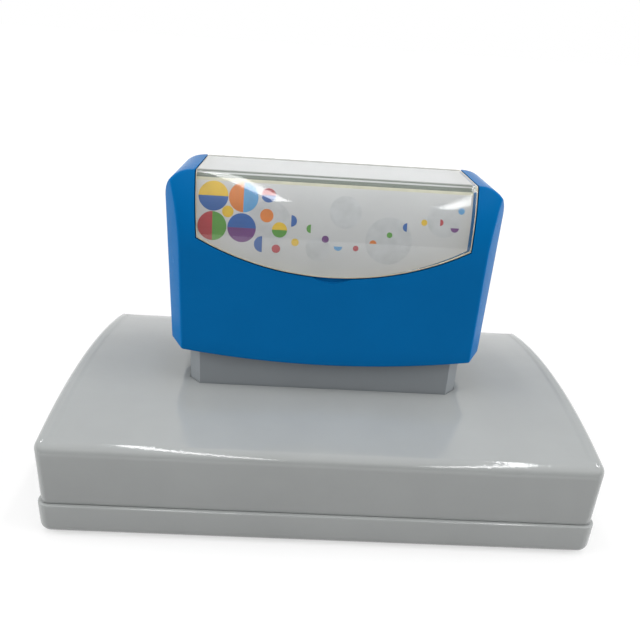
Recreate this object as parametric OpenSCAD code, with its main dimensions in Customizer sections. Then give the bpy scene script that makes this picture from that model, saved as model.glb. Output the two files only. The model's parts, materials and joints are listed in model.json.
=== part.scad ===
// Pre-inked stamp with a sprung grip, a stem that slides through an arched
// housing, a clamped foam face and a dust cap. Millimetres, +Z up, the origin on
// the desk under the middle of the cap, the front of the grip towards -Y.

/* [Imprint] */
// Width of the stamping face
face_w = 100; // [92:1:120]
// Depth of the stamping face
face_d = 50; // [46:1:70]
// Height of the resting face above the paper
face_lift = 4; // [3:0.1:5]
// How far a full press drives the face past the paper plane
press_past = 0.3; // [0:0.05:0.6]

/* [Foam and reservoir] */
// Thickness of the raised stamping face
face_t = 2; // [1.4:0.1:3]
// Thickness of the foam's clamped base
foam_base_t = 2; // [1:0.1:3]
// Width of the clamped base around the stamping face
foam_margin = 2; // [1.5:0.1:4]
// Thickness of the ink reservoir behind the foam
reservoir_t = 2.6; // [1.5:0.1:4]

/* [Pressure plate and frame] */
// Thickness of the pressure plate
plate_t = 2.6; // [2.2:0.1:4]
// Edge of the plate outside the foam
plate_border = 3; // [2:0.1:5]
// Height of the stiffening ribs on the plate
plate_rib_h = 1.4; // [0.8:0.1:1.6]
// Wall of the frame around the plate
frame_wall = 1; // [0.8:0.1:1.6]
// Thickness of the frame's lip under the foam's margin
frame_lip_t = 1.1; // [0.6:0.1:1.3]
// Fit between the frame and what it clamps
frame_clear = 0.2; // [0.1:0.05:0.4]
// Width of each snap hook
hook_w = 8; // [5:0.5:12]
// How far a hook reaches over the plate
hook_reach = 0.8; // [0.5:0.1:1.5]
// Thickness of a hook's barb
hook_t = 1.1; // [0.8:0.1:1.4]

/* [Housing] */
// Running gap between the frame and the inside of the housing
skirt_clear = 1.05; // [0.6:0.05:2]
// Wall of the lip that enters the cap
lip_wall = 1.5; // [1:0.1:2.5]
// Step from the lip out to the housing's side
lip_step = 1.25; // [0.8:0.05:2]
// Height of the lip
lip_h = 4.1; // [3:0.1:6]
// Height of the guide collar under the arched top
collar_h = 6.7; // [6.2:0.1:10]
// Wall of the guide collar
collar_wall = 1.8; // [1.2:0.1:3]
// Thickness of the arched top
top_wall = 2.2; // [1.5:0.1:3]
// Rise of the arch from the long edges to the crest
dome_rise = 4.3; // [3.2:0.1:5]
// Radius of the upright corners
corner_r = 2.1; // [2:0.1:8]
// Radius of the long top edges
long_edge_r = 2.2; // [1.5:0.1:4]
// Radius of the arched end edges
end_edge_r = 1.2; // [0.8:0.1:2]
// Width of the raised rim along each arched end
rim_w = 2.6; // [2.2:0.1:4]
// Height of the raised rim
rim_h = 0.15; // [0.1:0.05:0.5]
// Thickness of the ribs under the top
rib_t = 1.6; // [1:0.1:2.5]
// Gap between the resting plate and the collar that stops it
stop_gap = 0.2; // [0.1:0.05:0.4]
// Height of the spring bridges across the collar
bridge_h = 3; // [2:0.1:3.2]
// Width of the spring bridges
bridge_w = 4; // [3:0.1:5]
// Gap between the bridges and the stem's slots
bridge_clear = 0.5; // [0.3:0.05:0.7]
// Least gap over the plate's hooks and ribs
rib_clear = 0.7; // [0.4:0.1:1]

/* [Dust cap] */
// Thickness of the cap's floor
cap_floor = 2; // [1.2:0.1:3]
// Wall of the cap
cap_wall = 1.6; // [1.4:0.1:2.5]
// Gap between the cap's wall and the lip
cap_clear = 0.35; // [0.25:0.05:0.6]
// Height of the lip above the cap's floor
mouth_gap = 1.8; // [1:0.1:3]
// Open seam between the cap's rim and the housing
seam_gap = 0.15; // [0.1:0.05:0.6]
// Radius of the cap's lower edge
cap_edge_r = 2.5; // [1:0.1:3]
// Radius of the cap's rim
cap_rim_r = 0.5; // [0.2:0.05:0.7]
// Gap between the cap's grip ribs and the lip
grip_gap = 0.1; // [0.05:0.01:0.2]
// Number of grip ribs along each long wall
grip_ribs = 4; // [2:1:8]

/* [Stem] */
// Room between the stem and the inside of the grip's ends
stem_room_w = 3.2; // [2:0.1:5]
// Room between the stem and the inside of the grip's front and back
stem_room_d = 0.7; // [0.4:0.05:2]
// Corner chamfer of the stem
stem_chamfer = 2.5; // [1:0.1:3]
// Wall of the stem
stem_wall = 2; // [1.5:0.1:2.5]
// Running gap between the stem and the collar
stem_clear = 0.25; // [0.2:0.05:0.6]
// Thickness of the web that closes the stem's top
web_t = 2.5; // [1.8:0.1:4]

/* [Return springs] */
// Distance of each spring's axis from the end of the stem
spring_inset = 11.7; // [11:0.1:14]
// Outer diameter of the springs
spring_d = 9; // [7:0.1:10]
// Wire diameter
wire_d = 0.9; // [0.6:0.05:1.1]
// Installed length of the springs
spring_len = 28; // [24:0.5:30]
// Turns of wire in each spring
spring_turns = 9; // [7:1:11]
// Height of the posts and cups that centre the springs
post_h = 4; // [2:0.5:6]
// Radial gap between a spring and its post or cup
coil_clear = 0.3; // [0.2:0.05:0.5]
// Wall of the spring cups, and edge of the bridge around a spring
cup_wall = 1; // [0.8:0.1:1.4]

/* [Grip] */
// Width of the grip
grip_w = 73.8; // [66:0.1:82]
// Depth of the grip
grip_d = 28.3; // [26:0.1:34]
// Height of the grip from its lowest point to its top
grip_h = 42.1; // [40:0.1:50]
// Narrowing of the grip's width towards its foot
grip_taper = 1.8; // [0:0.1:2.4]
// Depth of the flat top
top_flat_d = 18.5; // [17:0.1:20]
// Slope of the front face where it meets the flat top
ridge_slope = 32; // [28:1:50]
// Radius of the grip's shoulders
shoulder_r = 6; // [4:0.1:6.5]
// Corner chamfer of the grip along its width
chamfer_w = 3.9; // [2:0.1:4.4]
// Corner chamfer of the grip along its depth
chamfer_d = 6.75; // [3:0.05:8]
// Softening radius of the chamfer's edges
chamfer_r = 0.8; // [0.5:0.1:2]
// Sag of the grip's lower edge
foot_sag = 3.1; // [0.5:0.1:4]
// Wall of the grip
grip_wall = 2; // [1.5:0.1:2.3]
// Gap left under the grip at full press
neck_clear = 2.6; // [1:0.1:6]
// Play between the grip's locating ribs and the stem
grip_play = 0.1; // [0.05:0.01:0.2]

/* [Index window and card] */
// Distance of the window from each end of the grip
window_end = 7.1; // [6.8:0.1:12]
// Depth of the window's middle below the top
window_drop = 20.7; // [16:0.1:22]
// Sag of the window's lower edge
window_sag = 7.4; // [3:0.1:9]
// Narrowing of each side of the window from the top down to its lower corner
window_taper = 0.6; // [0:0.1:1.5]
// Thickness of the window
window_t = 1.4; // [1:0.1:1.8]
// Gap around the window
window_clear = 0.2; // [0.1:0.05:0.4]
// Thickness of the index card
card_t = 0.3; // [0.2:0.05:0.5]
// Air gap on each side of the card
card_gap = 0.05; // [0.02:0.01:0.1]
// Distance of the card's edges from the window's
card_edge = 0.4; // [0:0.1:1]
// Width of the pry notch under the window
notch_w = 8; // [5:0.5:14]
// How far the pry notch reaches below the window
notch_drop = 1.1; // [0.8:0.1:2.5]
// Depth of the pry notch
notch_t = 1; // [0.6:0.1:1.4]

/* [Screws] */
// Shank diameter of the screws
screw_d = 2.6; // [2:0.1:3]
// Length of the screws under the head
screw_len = 12; // [10:0.5:14]
// Head diameter
head_d = 5; // [4.4:0.1:5.4]
// Height of the pan heads
head_h = 1.8; // [1.2:0.1:2.4]
// Radial gap around a screw in its hole
screw_clear = 0.05; // [0.03:0.01:0.1]
// Wall of a screw boss around its bore
boss_wall = 1.9; // [1.4:0.1:2.2]
// Gap between a spring's cup and the grip screw beside it
screw_room = 2.7; // [1:0.1:5]

/* [Hidden] */
$fn = 64;
arc_steps = 12;
long = 200;
lap = 0.4;

// Small sizes that the parts share
pad_r = 1;
hook_gap = 0.05;
sink_drop = 0.4;
border_edge = 3;
border_line = 0.8;
border_depth = 0.4;

// Widths and depths, from the imprint outwards
foam_size = [face_w, face_d] + 2 * [foam_margin, foam_margin];
plate_size = foam_size + 2 * [plate_border, plate_border];
frame_bore = plate_size + 2 * [frame_clear, frame_clear];
frame_size = frame_bore + 2 * [frame_wall, frame_wall];
cavity = frame_size + 2 * [skirt_clear, skirt_clear];
lip_size = cavity + 2 * [lip_wall, lip_wall];
housing_size = lip_size + 2 * [lip_step, lip_step];
cap_bore = lip_size + 2 * [cap_clear, cap_clear];
cap_size = cap_bore + 2 * [cap_wall, cap_wall];
lip_r = max(lap, corner_r - lip_step);
cavity_r = max(lap, lip_r - lip_wall);
cap_bore_r = lip_r + cap_clear;
cap_r = cap_bore_r + cap_wall;

// The stem inside the grip, and what stands inside the stem
stem_w = grip_w - 2 * (grip_wall + stem_room_w);
stem_d = grip_d - 2 * (grip_wall + stem_room_d);
spring_x = stem_w / 2 - spring_inset;
cup_d = spring_d + 2 * (coil_clear + cup_wall);
grip_screw_x = spring_x - cup_d / 2 - screw_room - head_d / 2;
window_w = grip_w - 2 * window_end;

// Heights, from the desk upwards
travel = face_lift + press_past;
paper_z = cap_floor + mouth_gap;
shoulder_z = paper_z + lip_h;
cap_h = shoulder_z - seam_gap;
face_z = paper_z + face_lift;
foam_step_z = face_z + face_t;
foam_top_z = foam_step_z + foam_base_t;
plate_z = foam_top_z + reservoir_t;
plate_top = plate_z + plate_t;
collar_z = plate_top + stop_gap;
bridge_top = collar_z + bridge_h;
crest_z = collar_z + collar_h + top_wall;
slot_top = bridge_top + travel + bridge_clear;
web_z = bridge_top + spring_len;
stem_top = web_z + web_t;
foot_z = crest_z + travel + neck_clear;
top_z = foot_z + grip_h;

// The arched top is a cylinder along X
arch_r = (pow(housing_size.y / 2, 2) + pow(dome_rise, 2)) / (2 * dome_rise);
arch_z = crest_z - arch_r;
arch_span = asin(housing_size.y / 2 / arch_r) + 4;

// The grip's front is an arc from the ridge of its flat top to an upright face
front_r = (grip_d - top_flat_d) / 2 / (1 - cos(ridge_slope));
front_z = top_z - front_r * sin(ridge_slope);
card_inset = window_t + card_gap;
recess_inset = card_inset + card_t + card_gap;
window_low = top_z - window_drop;
window_corner = window_w / 2 - window_taper;
window_lean = window_taper / (window_drop - window_sag);
window_arc = (pow(window_corner, 2) + pow(window_sag, 2)) / (2 * window_sag);
step_z = window_low - notch_drop - grip_wall / 2;
notch_r = (notch_w * notch_w / 4 + notch_drop * notch_drop) / (2 * notch_drop);

bore_d = screw_d + 2 * screw_clear;
boss_d = bore_d + 2 * boss_wall;
bore_spare = 1.5;
plate_screw = [stem_w, stem_d] / 2 - (stem_wall + boss_d / 2 - 2 * lap) * [1, 1];
sink_h = (head_d - screw_d) / 2;
sides = [-1, 1];

// Points of an arc about a centre, from one angle to another
function arc(centre, r, from, to, steps = arc_steps) =
    [for (i = [0:steps])
        let (a = from + (to - from) * i / steps)
        centre + r * [cos(a), sin(a)]];

// A convex outline, counter-clockwise, with each corner rounded to its own radius
function rounded(points, radii) =
    let (n = len(points))
    [for (i = [0:n - 1])
        let (p = points[i],
             a = points[(i + n - 1) % n] - p,
             b = points[(i + 1) % n] - p,
             u = a / norm(a),
             v = b / norm(b),
             half = acos(u * v) / 2,
             r = is_list(radii) ? radii[i] : radii,
             centre = p + (u + v) / norm(u + v) * r / sin(half),
             out = p + u * r / tan(half) - centre,
             from = atan2(out.y, out.x))
        each r > 0 ? arc(centre, r, from, from + 180 - 2 * half) : [p]];

function rectangle(size) =
    [[-size.x, -size.y], [size.x, -size.y], [size.x, size.y], [-size.x, size.y]] / 2;

function octagon(w, d, cw, cd) =
    [[cw - w / 2, -d / 2], [w / 2 - cw, -d / 2], [w / 2, cd - d / 2], [w / 2, d / 2 - cd],
     [w / 2 - cw, d / 2], [cw - w / 2, d / 2], [-w / 2, d / 2 - cd], [-w / 2, cd - d / 2]];

// The stem's outline, grown evenly on all sides
function stem_outline(grow) =
    let (cut = max(lap / 4, stem_chamfer + grow * (2 - sqrt(2))))
    octagon(stem_w + 2 * grow, stem_d + 2 * grow, cut, cut);

module block(size, r, low, high) {
    translate([0, 0, low])
        linear_extrude(high - low)
            polygon(rounded(rectangle(size), r));
}

// A profile drawn in Y and Z, drawn out along X, and one in X and Z, along Y
module along_x(w) {
    translate([-w / 2, 0, 0])
        rotate([90, 0, 90])
            linear_extrude(w)
                children();
}

module along_y(d) {
    translate([0, d / 2, 0])
        rotate([90, 0, 0])
            linear_extrude(d)
                children();
}

// Dust cap: a tray with a rounded lower edge, gripping the lip by small ribs
module cap_outline(size) {
    polygon(rounded([[-size / 2, 0], [size / 2, 0], [size / 2, cap_h], [-size / 2, cap_h]],
                    [cap_edge_r, cap_edge_r, cap_rim_r, cap_rim_r]));
}

module dust_cap() {
    rib_reach = cap_clear - grip_gap;
    rib_pitch = cap_bore.x / (grip_ribs + 1);
    color("darkgray") {
        difference() {
            intersection() {
                block(cap_size, cap_r, 0, cap_h);
                along_y(cap_size.y) cap_outline(cap_size.x);
                along_x(cap_size.x) cap_outline(cap_size.y);
            }
            block(cap_bore, cap_bore_r, cap_floor, long);
        }
        for (side = sides, i = [1:grip_ribs])
            translate([i * rib_pitch, side * (cap_bore.y - rib_reach + lap) / 2, cap_floor - lap])
                translate([-cap_bore.x / 2, 0, 0])
                    linear_extrude(cap_h - cap_rim_r - cap_floor)
                        square([rib_t, rib_reach + lap], center = true);
    }
}

// Housing: an arched shell with a lip for the cap, a guide collar and spring bridges
module arch_band(r, w, rounding) {
    edge = r + rim_h;
    outline = rounding > 0
        ? rounded([[arch_r - long / 4, w / 2], [arch_r - long / 4, -w / 2], [edge, -w / 2],
                   [edge, rim_w - w / 2], [edge - rim_h, rim_w + 2 * rim_h - w / 2],
                   [edge - rim_h, w / 2 - rim_w - 2 * rim_h], [edge, w / 2 - rim_w], [edge, w / 2]],
                  [0, 0, rounding, 0, 0, 0, 0, rounding])
        : [[arch_r - long / 4, w / 2], [arch_r - long / 4, -w / 2], [r, -w / 2], [r, w / 2]];
    translate([0, 0, arch_z])
        rotate([0, -90, 0])
            rotate([0, 0, -arch_span])
                rotate_extrude(angle = 2 * arch_span, $fn = 180)
                    polygon(outline);
}

// The long top edges, rounded by arcs that just cross the arch
module edge_rounding() {
    crossing = 0.06;
    reach = arch_r - long_edge_r + crossing;
    y = housing_size.y / 2 - long_edge_r;
    z = arch_z + sqrt(reach * reach - y * y);
    lean = asin(y / reach);
    open_y = y + long_edge_r * sin(lean);
    open_z = crest_z + long_edge_r;
    along_x(housing_size.x)
        polygon(concat([[-housing_size.y / 2, 0], [housing_size.y / 2, 0]],
                       arc([y, z], long_edge_r, 0, 90 - lean),
                       [[open_y, open_z], [-open_y, open_z]],
                       arc([-y, z], long_edge_r, 90 + lean, 180)));
}

module housing_body() {
    intersection() {
        union() {
            block(housing_size, corner_r, shoulder_z, crest_z + long_edge_r);
            block(lip_size, lip_r, paper_z, shoulder_z + lap);
        }
        arch_band(arch_r, housing_size.x, end_edge_r);
        edge_rounding();
    }
}

module housing_hollow() {
    intersection() {
        block(cavity, cavity_r, paper_z - 1, crest_z);
        arch_band(arch_r - top_wall, housing_size.x, 0);
    }
}

// Ribs that tie the collar to the walls, clear of the frame's hooks
module housing_ribs() {
    low = plate_top + max(hook_t + hook_gap, plate_rib_h) + rib_clear;
    for (side = sides)
        translate([side * (stem_w + cavity.x) / 4, 0, (low + crest_z) / 2]) {
            cube([rib_t, cavity.y + lap, crest_z - low], center = true);
            cube([(cavity.x - stem_w) / 2 + lap, rib_t, crest_z - low], center = true);
        }
}

// A bar across the collar, with a pad and a post for its spring
module spring_bridge() {
    span = stem_d + 2 * stem_clear + collar_wall;
    translate([0, 0, collar_z]) {
        translate([-bridge_w / 2, -span / 2, 0])
            cube([bridge_w, span, bridge_h]);
        cylinder(d = spring_d + 2 * cup_wall, h = bridge_h);
        cylinder(d = spring_d - 2 * (wire_d + coil_clear), h = bridge_h + post_h);
    }
}

module housing() {
    slot = stem_outline(stem_clear);
    collar = stem_outline(stem_clear + collar_wall);
    color("lightgray") {
        difference() {
            union() {
                difference() {
                    housing_body();
                    housing_hollow();
                }
                intersection() {
                    union() {
                        translate([0, 0, collar_z])
                            linear_extrude(long)
                                polygon(collar);
                        housing_ribs();
                    }
                    arch_band(arch_r - top_wall / 2, housing_size.x, 0);
                    block(cavity + [lip_wall, lip_wall], cavity_r, collar_z, crest_z);
                }
            }
            translate([0, 0, collar_z - 1])
                linear_extrude(long)
                    polygon(slot);
        }
        for (side = sides)
            translate([side * spring_x, 0, 0])
                spring_bridge();
    }
}

// Return springs: round wire, with the end turns closed up to a small gap
coil_r = (spring_d - wire_d) / 2;
end_pitch = wire_d + 0.5;
wire_sides = 6;
turn_rings = 8;
seat_gap = 0.05;
wire_rise = spring_len - wire_d - 2 * seat_gap;
open_pitch = (wire_rise - 2 * end_pitch) / (spring_turns - 2);
function coil_z(t) = t < 1 ? t * end_pitch
    : t > spring_turns - 1 ? wire_rise - (spring_turns - t) * end_pitch
    : end_pitch + (t - 1) * open_pitch;
coil_line = [for (i = [0:spring_turns * turn_rings])
    let (t = i / turn_rings) [coil_r * cos(360 * t), coil_r * sin(360 * t), coil_z(t)]];
coil_gap = min([for (i = [0:len(coil_line) - 1], j = [i + turn_rings / 2:1:len(coil_line) - 1])
    norm(coil_line[i] - coil_line[j])]) - wire_d;
echo(least_gap_between_spring_turns = coil_gap);

module return_spring(side) {
    rings = len(coil_line);
    points = [for (i = [0:rings - 1], k = [0:wire_sides - 1])
        let (swing = 360 * i / turn_rings, a = 360 * k / wire_sides, out = wire_d / 2 * cos(a))
        coil_line[i] + [out * cos(swing), out * sin(swing), wire_d / 2 * sin(a)]];
    skin = [for (i = [0:rings - 2], k = [0:wire_sides - 1])
        let (a = i * wire_sides + k, b = i * wire_sides + (k + 1) % wire_sides)
        each [[a, a + wire_sides, b], [b, a + wire_sides, b + wire_sides]]];
    last = (rings - 1) * wire_sides;
    ends = [for (k = [1:wire_sides - 2]) each [[0, k, k + 1], [last, last + k + 1, last + k]]];
    color("silver")
        translate([side * spring_x, 0, bridge_top + seat_gap + wire_d / 2])
            polyhedron(points, concat(skin, ends));
}

// Stem: a chamfered tube, slotted round the bridges and closed by a web
module stem() {
    color("darkgray") {
        difference() {
            union() {
                difference() {
                    translate([0, 0, plate_top])
                        linear_extrude(stem_top - plate_top)
                            polygon(stem_outline(0));
                    translate([0, 0, plate_top - lap])
                        linear_extrude(web_z - plate_top + lap)
                            polygon(stem_outline(-stem_wall));
                }
                for (x = sides, y = sides)
                    translate([x * plate_screw.x, y * plate_screw.y, plate_top])
                        cylinder(d = boss_d, h = web_z - plate_top + lap);
                for (side = sides)
                    translate([side * spring_x, 0, web_z - post_h])
                        difference() {
                            cylinder(d = cup_d, h = post_h + lap);
                            translate([0, 0, -lap])
                                cylinder(d = spring_d + 2 * coil_clear, h = post_h + lap);
                        }
            }
            for (side = sides)
                translate([side * spring_x, 0, slot_top - long / 2])
                    cube([bridge_w + 2 * bridge_clear, stem_d + lap, long], center = true);
            for (x = sides, y = sides)
                translate([x * plate_screw.x, y * plate_screw.y, plate_top - lap])
                    cylinder(d = bore_d, h = screw_len - plate_t + lap + bore_spare);
            for (side = sides)
                translate([side * grip_screw_x, 0, web_z - lap])
                    cylinder(d = bore_d, h = web_t + 2 * lap);
        }
    }
}

// Grip: a blue shell shaped by its plan, front and side outlines
function side_outline(inset, low) =
    let (r = front_r - inset,
         ridge = asin((top_z - inset - front_z) / r),
         y = grip_d / 2 - front_r)
    concat([[inset - grip_d / 2, low], [grip_d / 2 - inset, low]],
           arc([y, front_z], r, 0, ridge, 2 * arc_steps),
           arc([-y, front_z], r, 180 - ridge, 180, 2 * arc_steps));

module front_outline(inset, low) {
    top = grip_w / 2 - inset;
    foot = top - grip_taper / 2;
    polygon(rounded([[-foot, low], [foot, low], [top, top_z - inset], [-top, top_z - inset]],
                    [0, 0, shoulder_r - inset, shoulder_r - inset]));
}

module grip_form(inset, low) {
    plan = octagon(grip_w - 2 * inset, grip_d - 2 * inset, chamfer_w, chamfer_d);
    intersection() {
        translate([0, 0, low])
            linear_extrude(top_z - low)
                polygon(rounded(plan, chamfer_r));
        along_y(grip_d) front_outline(inset, low);
        along_x(grip_w) polygon(side_outline(inset, low));
    }
}

// The region of the saddle-shaped window, between its leaning sides and above its
// sagging lower edge
module window_region(grow) {
    low = window_low - grow;
    high = top_z + 2 * lap;
    foot = window_w / 2 + grow - (top_z - low) * window_lean;
    head = window_w / 2 + grow - (top_z - high) * window_lean;
    along_y(grip_d + 2 * lap)
        intersection() {
            translate([0, window_low + window_arc])
                circle(window_arc + grow, $fn = 128);
            polygon([[-foot, low], [foot, low], [head, high], [-head, high]]);
        }
}

module saddle(outer, inner, grow) {
    intersection() {
        difference() {
            along_x(grip_w) polygon(side_outline(outer, foot_z));
            along_x(grip_w + lap) polygon(side_outline(inner, foot_z - lap));
        }
        window_region(grow);
    }
}

module foot_cut() {
    half = grip_w / 2;
    r = (half * half + foot_sag * foot_sag) / (2 * foot_sag);
    along_y(grip_d + 2 * lap)
        difference() {
            translate([-half - lap, foot_z - lap])
                square([2 * (half + lap), foot_sag + lap]);
            translate([0, foot_z + r])
                circle(r, $fn = 256);
        }
}

// The hollow steps in behind the window's recess
module grip_hollow() {
    low = foot_z - lap;
    intersection() {
        grip_form(grip_wall, low);
        union() {
            translate([-grip_w / 2, -grip_d / 2, low])
                cube([grip_w, grip_d, step_z - low]);
            along_x(grip_w) polygon(side_outline(recess_inset + grip_wall, low));
        }
    }
}

// Screw bosses with cross ribs, and ribs that locate the stem
module grip_inside() {
    rib_low = foot_z + foot_sag + grip_wall;
    rib_mid = (rib_low + stem_top) / 2;
    rib_h = top_z - recess_inset - step_z;
    for (side = sides) {
        translate([side * grip_screw_x, 0, stem_top])
            cylinder(d = boss_d, h = top_z - recess_inset - stem_top);
        translate([side * grip_screw_x, 0, step_z + rib_h / 2])
            cube([rib_t, grip_d, rib_h], center = true);
        for (x = sides)
            translate([x * spring_x, side * (stem_d / 2 + grip_play + grip_wall), rib_mid])
                cube([rib_t, 2 * grip_wall, stem_top - rib_low], center = true);
        translate([side * ((stem_w + grip_w) / 4 + grip_play / 2), 0, rib_mid])
            cube([(grip_w - stem_w) / 2 - grip_play, rib_t, stem_top - rib_low], center = true);
    }
}

module grip_shell() {
    color("royalblue")
        difference() {
            union() {
                difference() {
                    grip_form(0, foot_z);
                    grip_hollow();
                }
                intersection() {
                    grip_inside();
                    grip_form(grip_wall - lap, foot_z);
                }
            }
            saddle(-lap, recess_inset, window_clear);
            foot_cut();
            for (side = sides) {
                translate([side * grip_screw_x, 0, stem_top - lap])
                    cylinder(d = bore_d, h = screw_len - web_t + lap + bore_spare);
                translate([0, side * grip_d / 2, window_low - window_clear - notch_drop + notch_r])
                    rotate([90, 0, 0])
                        cylinder(r = notch_r, h = 2 * notch_t, center = true);
            }
        }
}

// Screws: pan heads under the stem's web, countersunk heads in the plate
drive_w = 2.4;
drive_t = 0.7;
drive_h = 0.9;

module cross_recess(depth) {
    for (turn = [0, 90])
        rotate([0, 0, turn])
            cube([drive_w, drive_t, 2 * depth], center = true);
}

module grip_screws() {
    color("silver")
        for (side = sides)
            translate([side * grip_screw_x, 0, web_z])
                difference() {
                    union() {
                        translate([0, 0, -head_h])
                            cylinder(d = head_d, h = head_h);
                        translate([0, 0, -lap])
                            cylinder(d = screw_d, h = screw_len + lap);
                    }
                    translate([0, 0, -head_h])
                        cross_recess(drive_h);
                }
}

module plate_screws() {
    color("silver")
        for (x = sides, y = sides)
            translate([x * plate_screw.x, y * plate_screw.y, plate_z + sink_drop])
                difference() {
                    union() {
                        cylinder(d1 = head_d, d2 = screw_d, h = sink_h);
                        cylinder(d = screw_d, h = screw_len - sink_drop);
                    }
                    cross_recess(drive_h);
                }
}

// Pressure plate: ribbed on top outside the collar, countersunk from below
module pressure_plate() {
    rib_in = stem_w / 2 + stem_clear + collar_wall + rib_clear;
    rib_out = plate_size.x / 2 - hook_reach - rib_clear;
    color("gray")
        difference() {
            union() {
                block(plate_size, pad_r, plate_z, plate_top);
                for (x = sides, y = sides)
                    translate([x * (rib_in + rib_out) / 2, y * plate_size.y / 4, plate_top])
                        cube([rib_out - rib_in, rib_t, 2 * plate_rib_h], center = true);
            }
            for (x = sides, y = sides)
                translate([x * plate_screw.x, y * plate_screw.y, plate_z]) {
                    translate([0, 0, -lap])
                        cylinder(d = bore_d, h = plate_t + 2 * lap);
                    translate([0, 0, sink_drop])
                        cylinder(d1 = head_d + 2 * screw_clear, d2 = bore_d, h = sink_h);
                    translate([0, 0, -lap])
                        cylinder(d = head_d + 2 * screw_clear, h = sink_drop + lap);
                }
        }
}

module ink_reservoir() {
    color("white")
        block(foam_size, pad_r, foam_top_z, plate_z);
}

// Foam: a clamped base and a raised stamping face with a plain sunk border line
module stamp_foam() {
    outer = [face_w, face_d] - 2 * border_edge * [1, 1];
    inner = outer - 2 * border_line * [1, 1];
    color("dimgray")
        difference() {
            union() {
                block(foam_size, pad_r, foam_step_z, foam_top_z);
                block([face_w, face_d], pad_r, face_z, foam_step_z + lap);
            }
            difference() {
                block(outer, pad_r, face_z - lap, face_z + border_depth);
                block(inner, pad_r, face_z - 2 * lap, face_z + 2 * border_depth);
            }
        }
}

// Frame: clamps the foam's margin to the plate, held by hooks over the plate's edge
module hook() {
    outer = frame_clear + frame_wall;
    top = plate_top + hook_gap + hook_t;
    translate([-hook_w / 2, frame_clear, plate_top - lap])
        cube([hook_w, frame_wall, top - plate_top + lap]);
    translate([-hook_w / 2, -hook_reach, plate_top + hook_gap])
        cube([hook_w, outer + hook_reach, hook_t]);
}

module foam_frame() {
    window = [face_w, face_d] + 2 * [frame_clear, frame_clear];
    lip_low = foam_step_z - frame_lip_t;
    color("gray") {
        difference() {
            block(frame_size, pad_r + frame_wall, lip_low, plate_top);
            block(frame_bore, pad_r, plate_z, long);
            block(foam_size + 2 * [frame_clear, frame_clear], pad_r, foam_step_z, long);
            block(window, pad_r, lip_low - lap, long);
        }
        for (side = sides) {
            for (x = [-1, 0, 1])
                translate([x * plate_size.x / 3, 0, 0])
                    rotate([0, 0, side > 0 ? 0 : 180])
                        translate([0, plate_size.y / 2, 0])
                            hook();
            rotate([0, 0, -90 * side])
                translate([0, plate_size.x / 2, 0])
                    hook();
        }
    }
}

// Index card under a clear saddle-shaped window
module index_card() {
    color("whitesmoke")
        saddle(card_inset, card_inset + card_t, -card_edge);
}

module index_window() {
    color("azure", 0.4)
        saddle(0, window_t, 0);
}

dust_cap();
housing();
return_spring(-1);  // return_spring_left
return_spring(1);  // return_spring_right
stem();
grip_shell();
grip_screws();
pressure_plate();
plate_screws();
ink_reservoir();
stamp_foam();
foam_frame();
index_card();
index_window();
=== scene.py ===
"""Looks of a pre-inked stamp: arched grey housing and dust cap, blue sprung grip, clear index window."""
import json
import math

import bmesh
import bpy
from bpy.props import FloatProperty, FloatVectorProperty, IntProperty, PointerProperty
from bpy.types import Operator, Panel, PropertyGroup
from mathutils import Matrix, Vector

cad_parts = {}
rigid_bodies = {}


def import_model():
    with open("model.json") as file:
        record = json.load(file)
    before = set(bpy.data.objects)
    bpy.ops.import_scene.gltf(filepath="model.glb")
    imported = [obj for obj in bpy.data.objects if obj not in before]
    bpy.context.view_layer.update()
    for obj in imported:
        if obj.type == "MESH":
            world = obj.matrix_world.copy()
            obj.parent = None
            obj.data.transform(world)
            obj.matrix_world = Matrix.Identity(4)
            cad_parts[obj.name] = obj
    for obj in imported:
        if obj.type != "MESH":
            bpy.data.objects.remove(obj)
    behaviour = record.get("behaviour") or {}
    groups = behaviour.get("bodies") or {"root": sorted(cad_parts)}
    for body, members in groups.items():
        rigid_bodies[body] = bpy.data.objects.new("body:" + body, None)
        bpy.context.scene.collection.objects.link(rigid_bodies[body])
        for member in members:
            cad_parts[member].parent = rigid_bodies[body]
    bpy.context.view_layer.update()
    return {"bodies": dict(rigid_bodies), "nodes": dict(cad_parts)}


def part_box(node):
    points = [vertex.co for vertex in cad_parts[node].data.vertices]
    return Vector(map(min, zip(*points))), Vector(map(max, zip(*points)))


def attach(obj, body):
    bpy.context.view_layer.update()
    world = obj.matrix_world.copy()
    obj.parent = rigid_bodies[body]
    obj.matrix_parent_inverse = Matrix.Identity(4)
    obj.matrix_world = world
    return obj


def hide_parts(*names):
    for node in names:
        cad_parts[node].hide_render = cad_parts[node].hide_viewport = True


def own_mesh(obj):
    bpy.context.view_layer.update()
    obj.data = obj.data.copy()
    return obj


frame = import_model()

bl_info = {
    "name": "Pre-inked stamp",
    "version": (1, 0, 0),
    "blender": (4, 5, 0),
    "location": "View3D > Sidebar > Stamp",
    "description": "Builds the visible pieces of a pre-inked stamp around its packed solids",
    "category": "Object",
}

CAP_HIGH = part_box("dust_cap")[1]
HOUSING_LOW, HOUSING_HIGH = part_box("housing")
STEM_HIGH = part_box("stem")[1]
GRIP_LOW, GRIP_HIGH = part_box("grip_shell")
WINDOW_LOW, WINDOW_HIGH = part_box("index_window")
CARD_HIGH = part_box("index_card")[1]
FOAM_LOW, FOAM_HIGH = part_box("stamp_foam")
RESERVOIR_LOW, RESERVOIR_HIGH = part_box("ink_reservoir")
SPRING_LOW, SPRING_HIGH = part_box("return_spring_right")

MM = 0.001
CORNER_STEPS = 11
# Points added on the long and the end sides of the cap, the foam and the reservoir
LONG_POINTS, END_POINTS = 30, 18


def length(name, description, default):
    """A size in metres for the sidebar."""
    return FloatProperty(name=name, description=description, default=default, min=0.0,
                         precision=5, step=0.01, unit="LENGTH")


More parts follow.
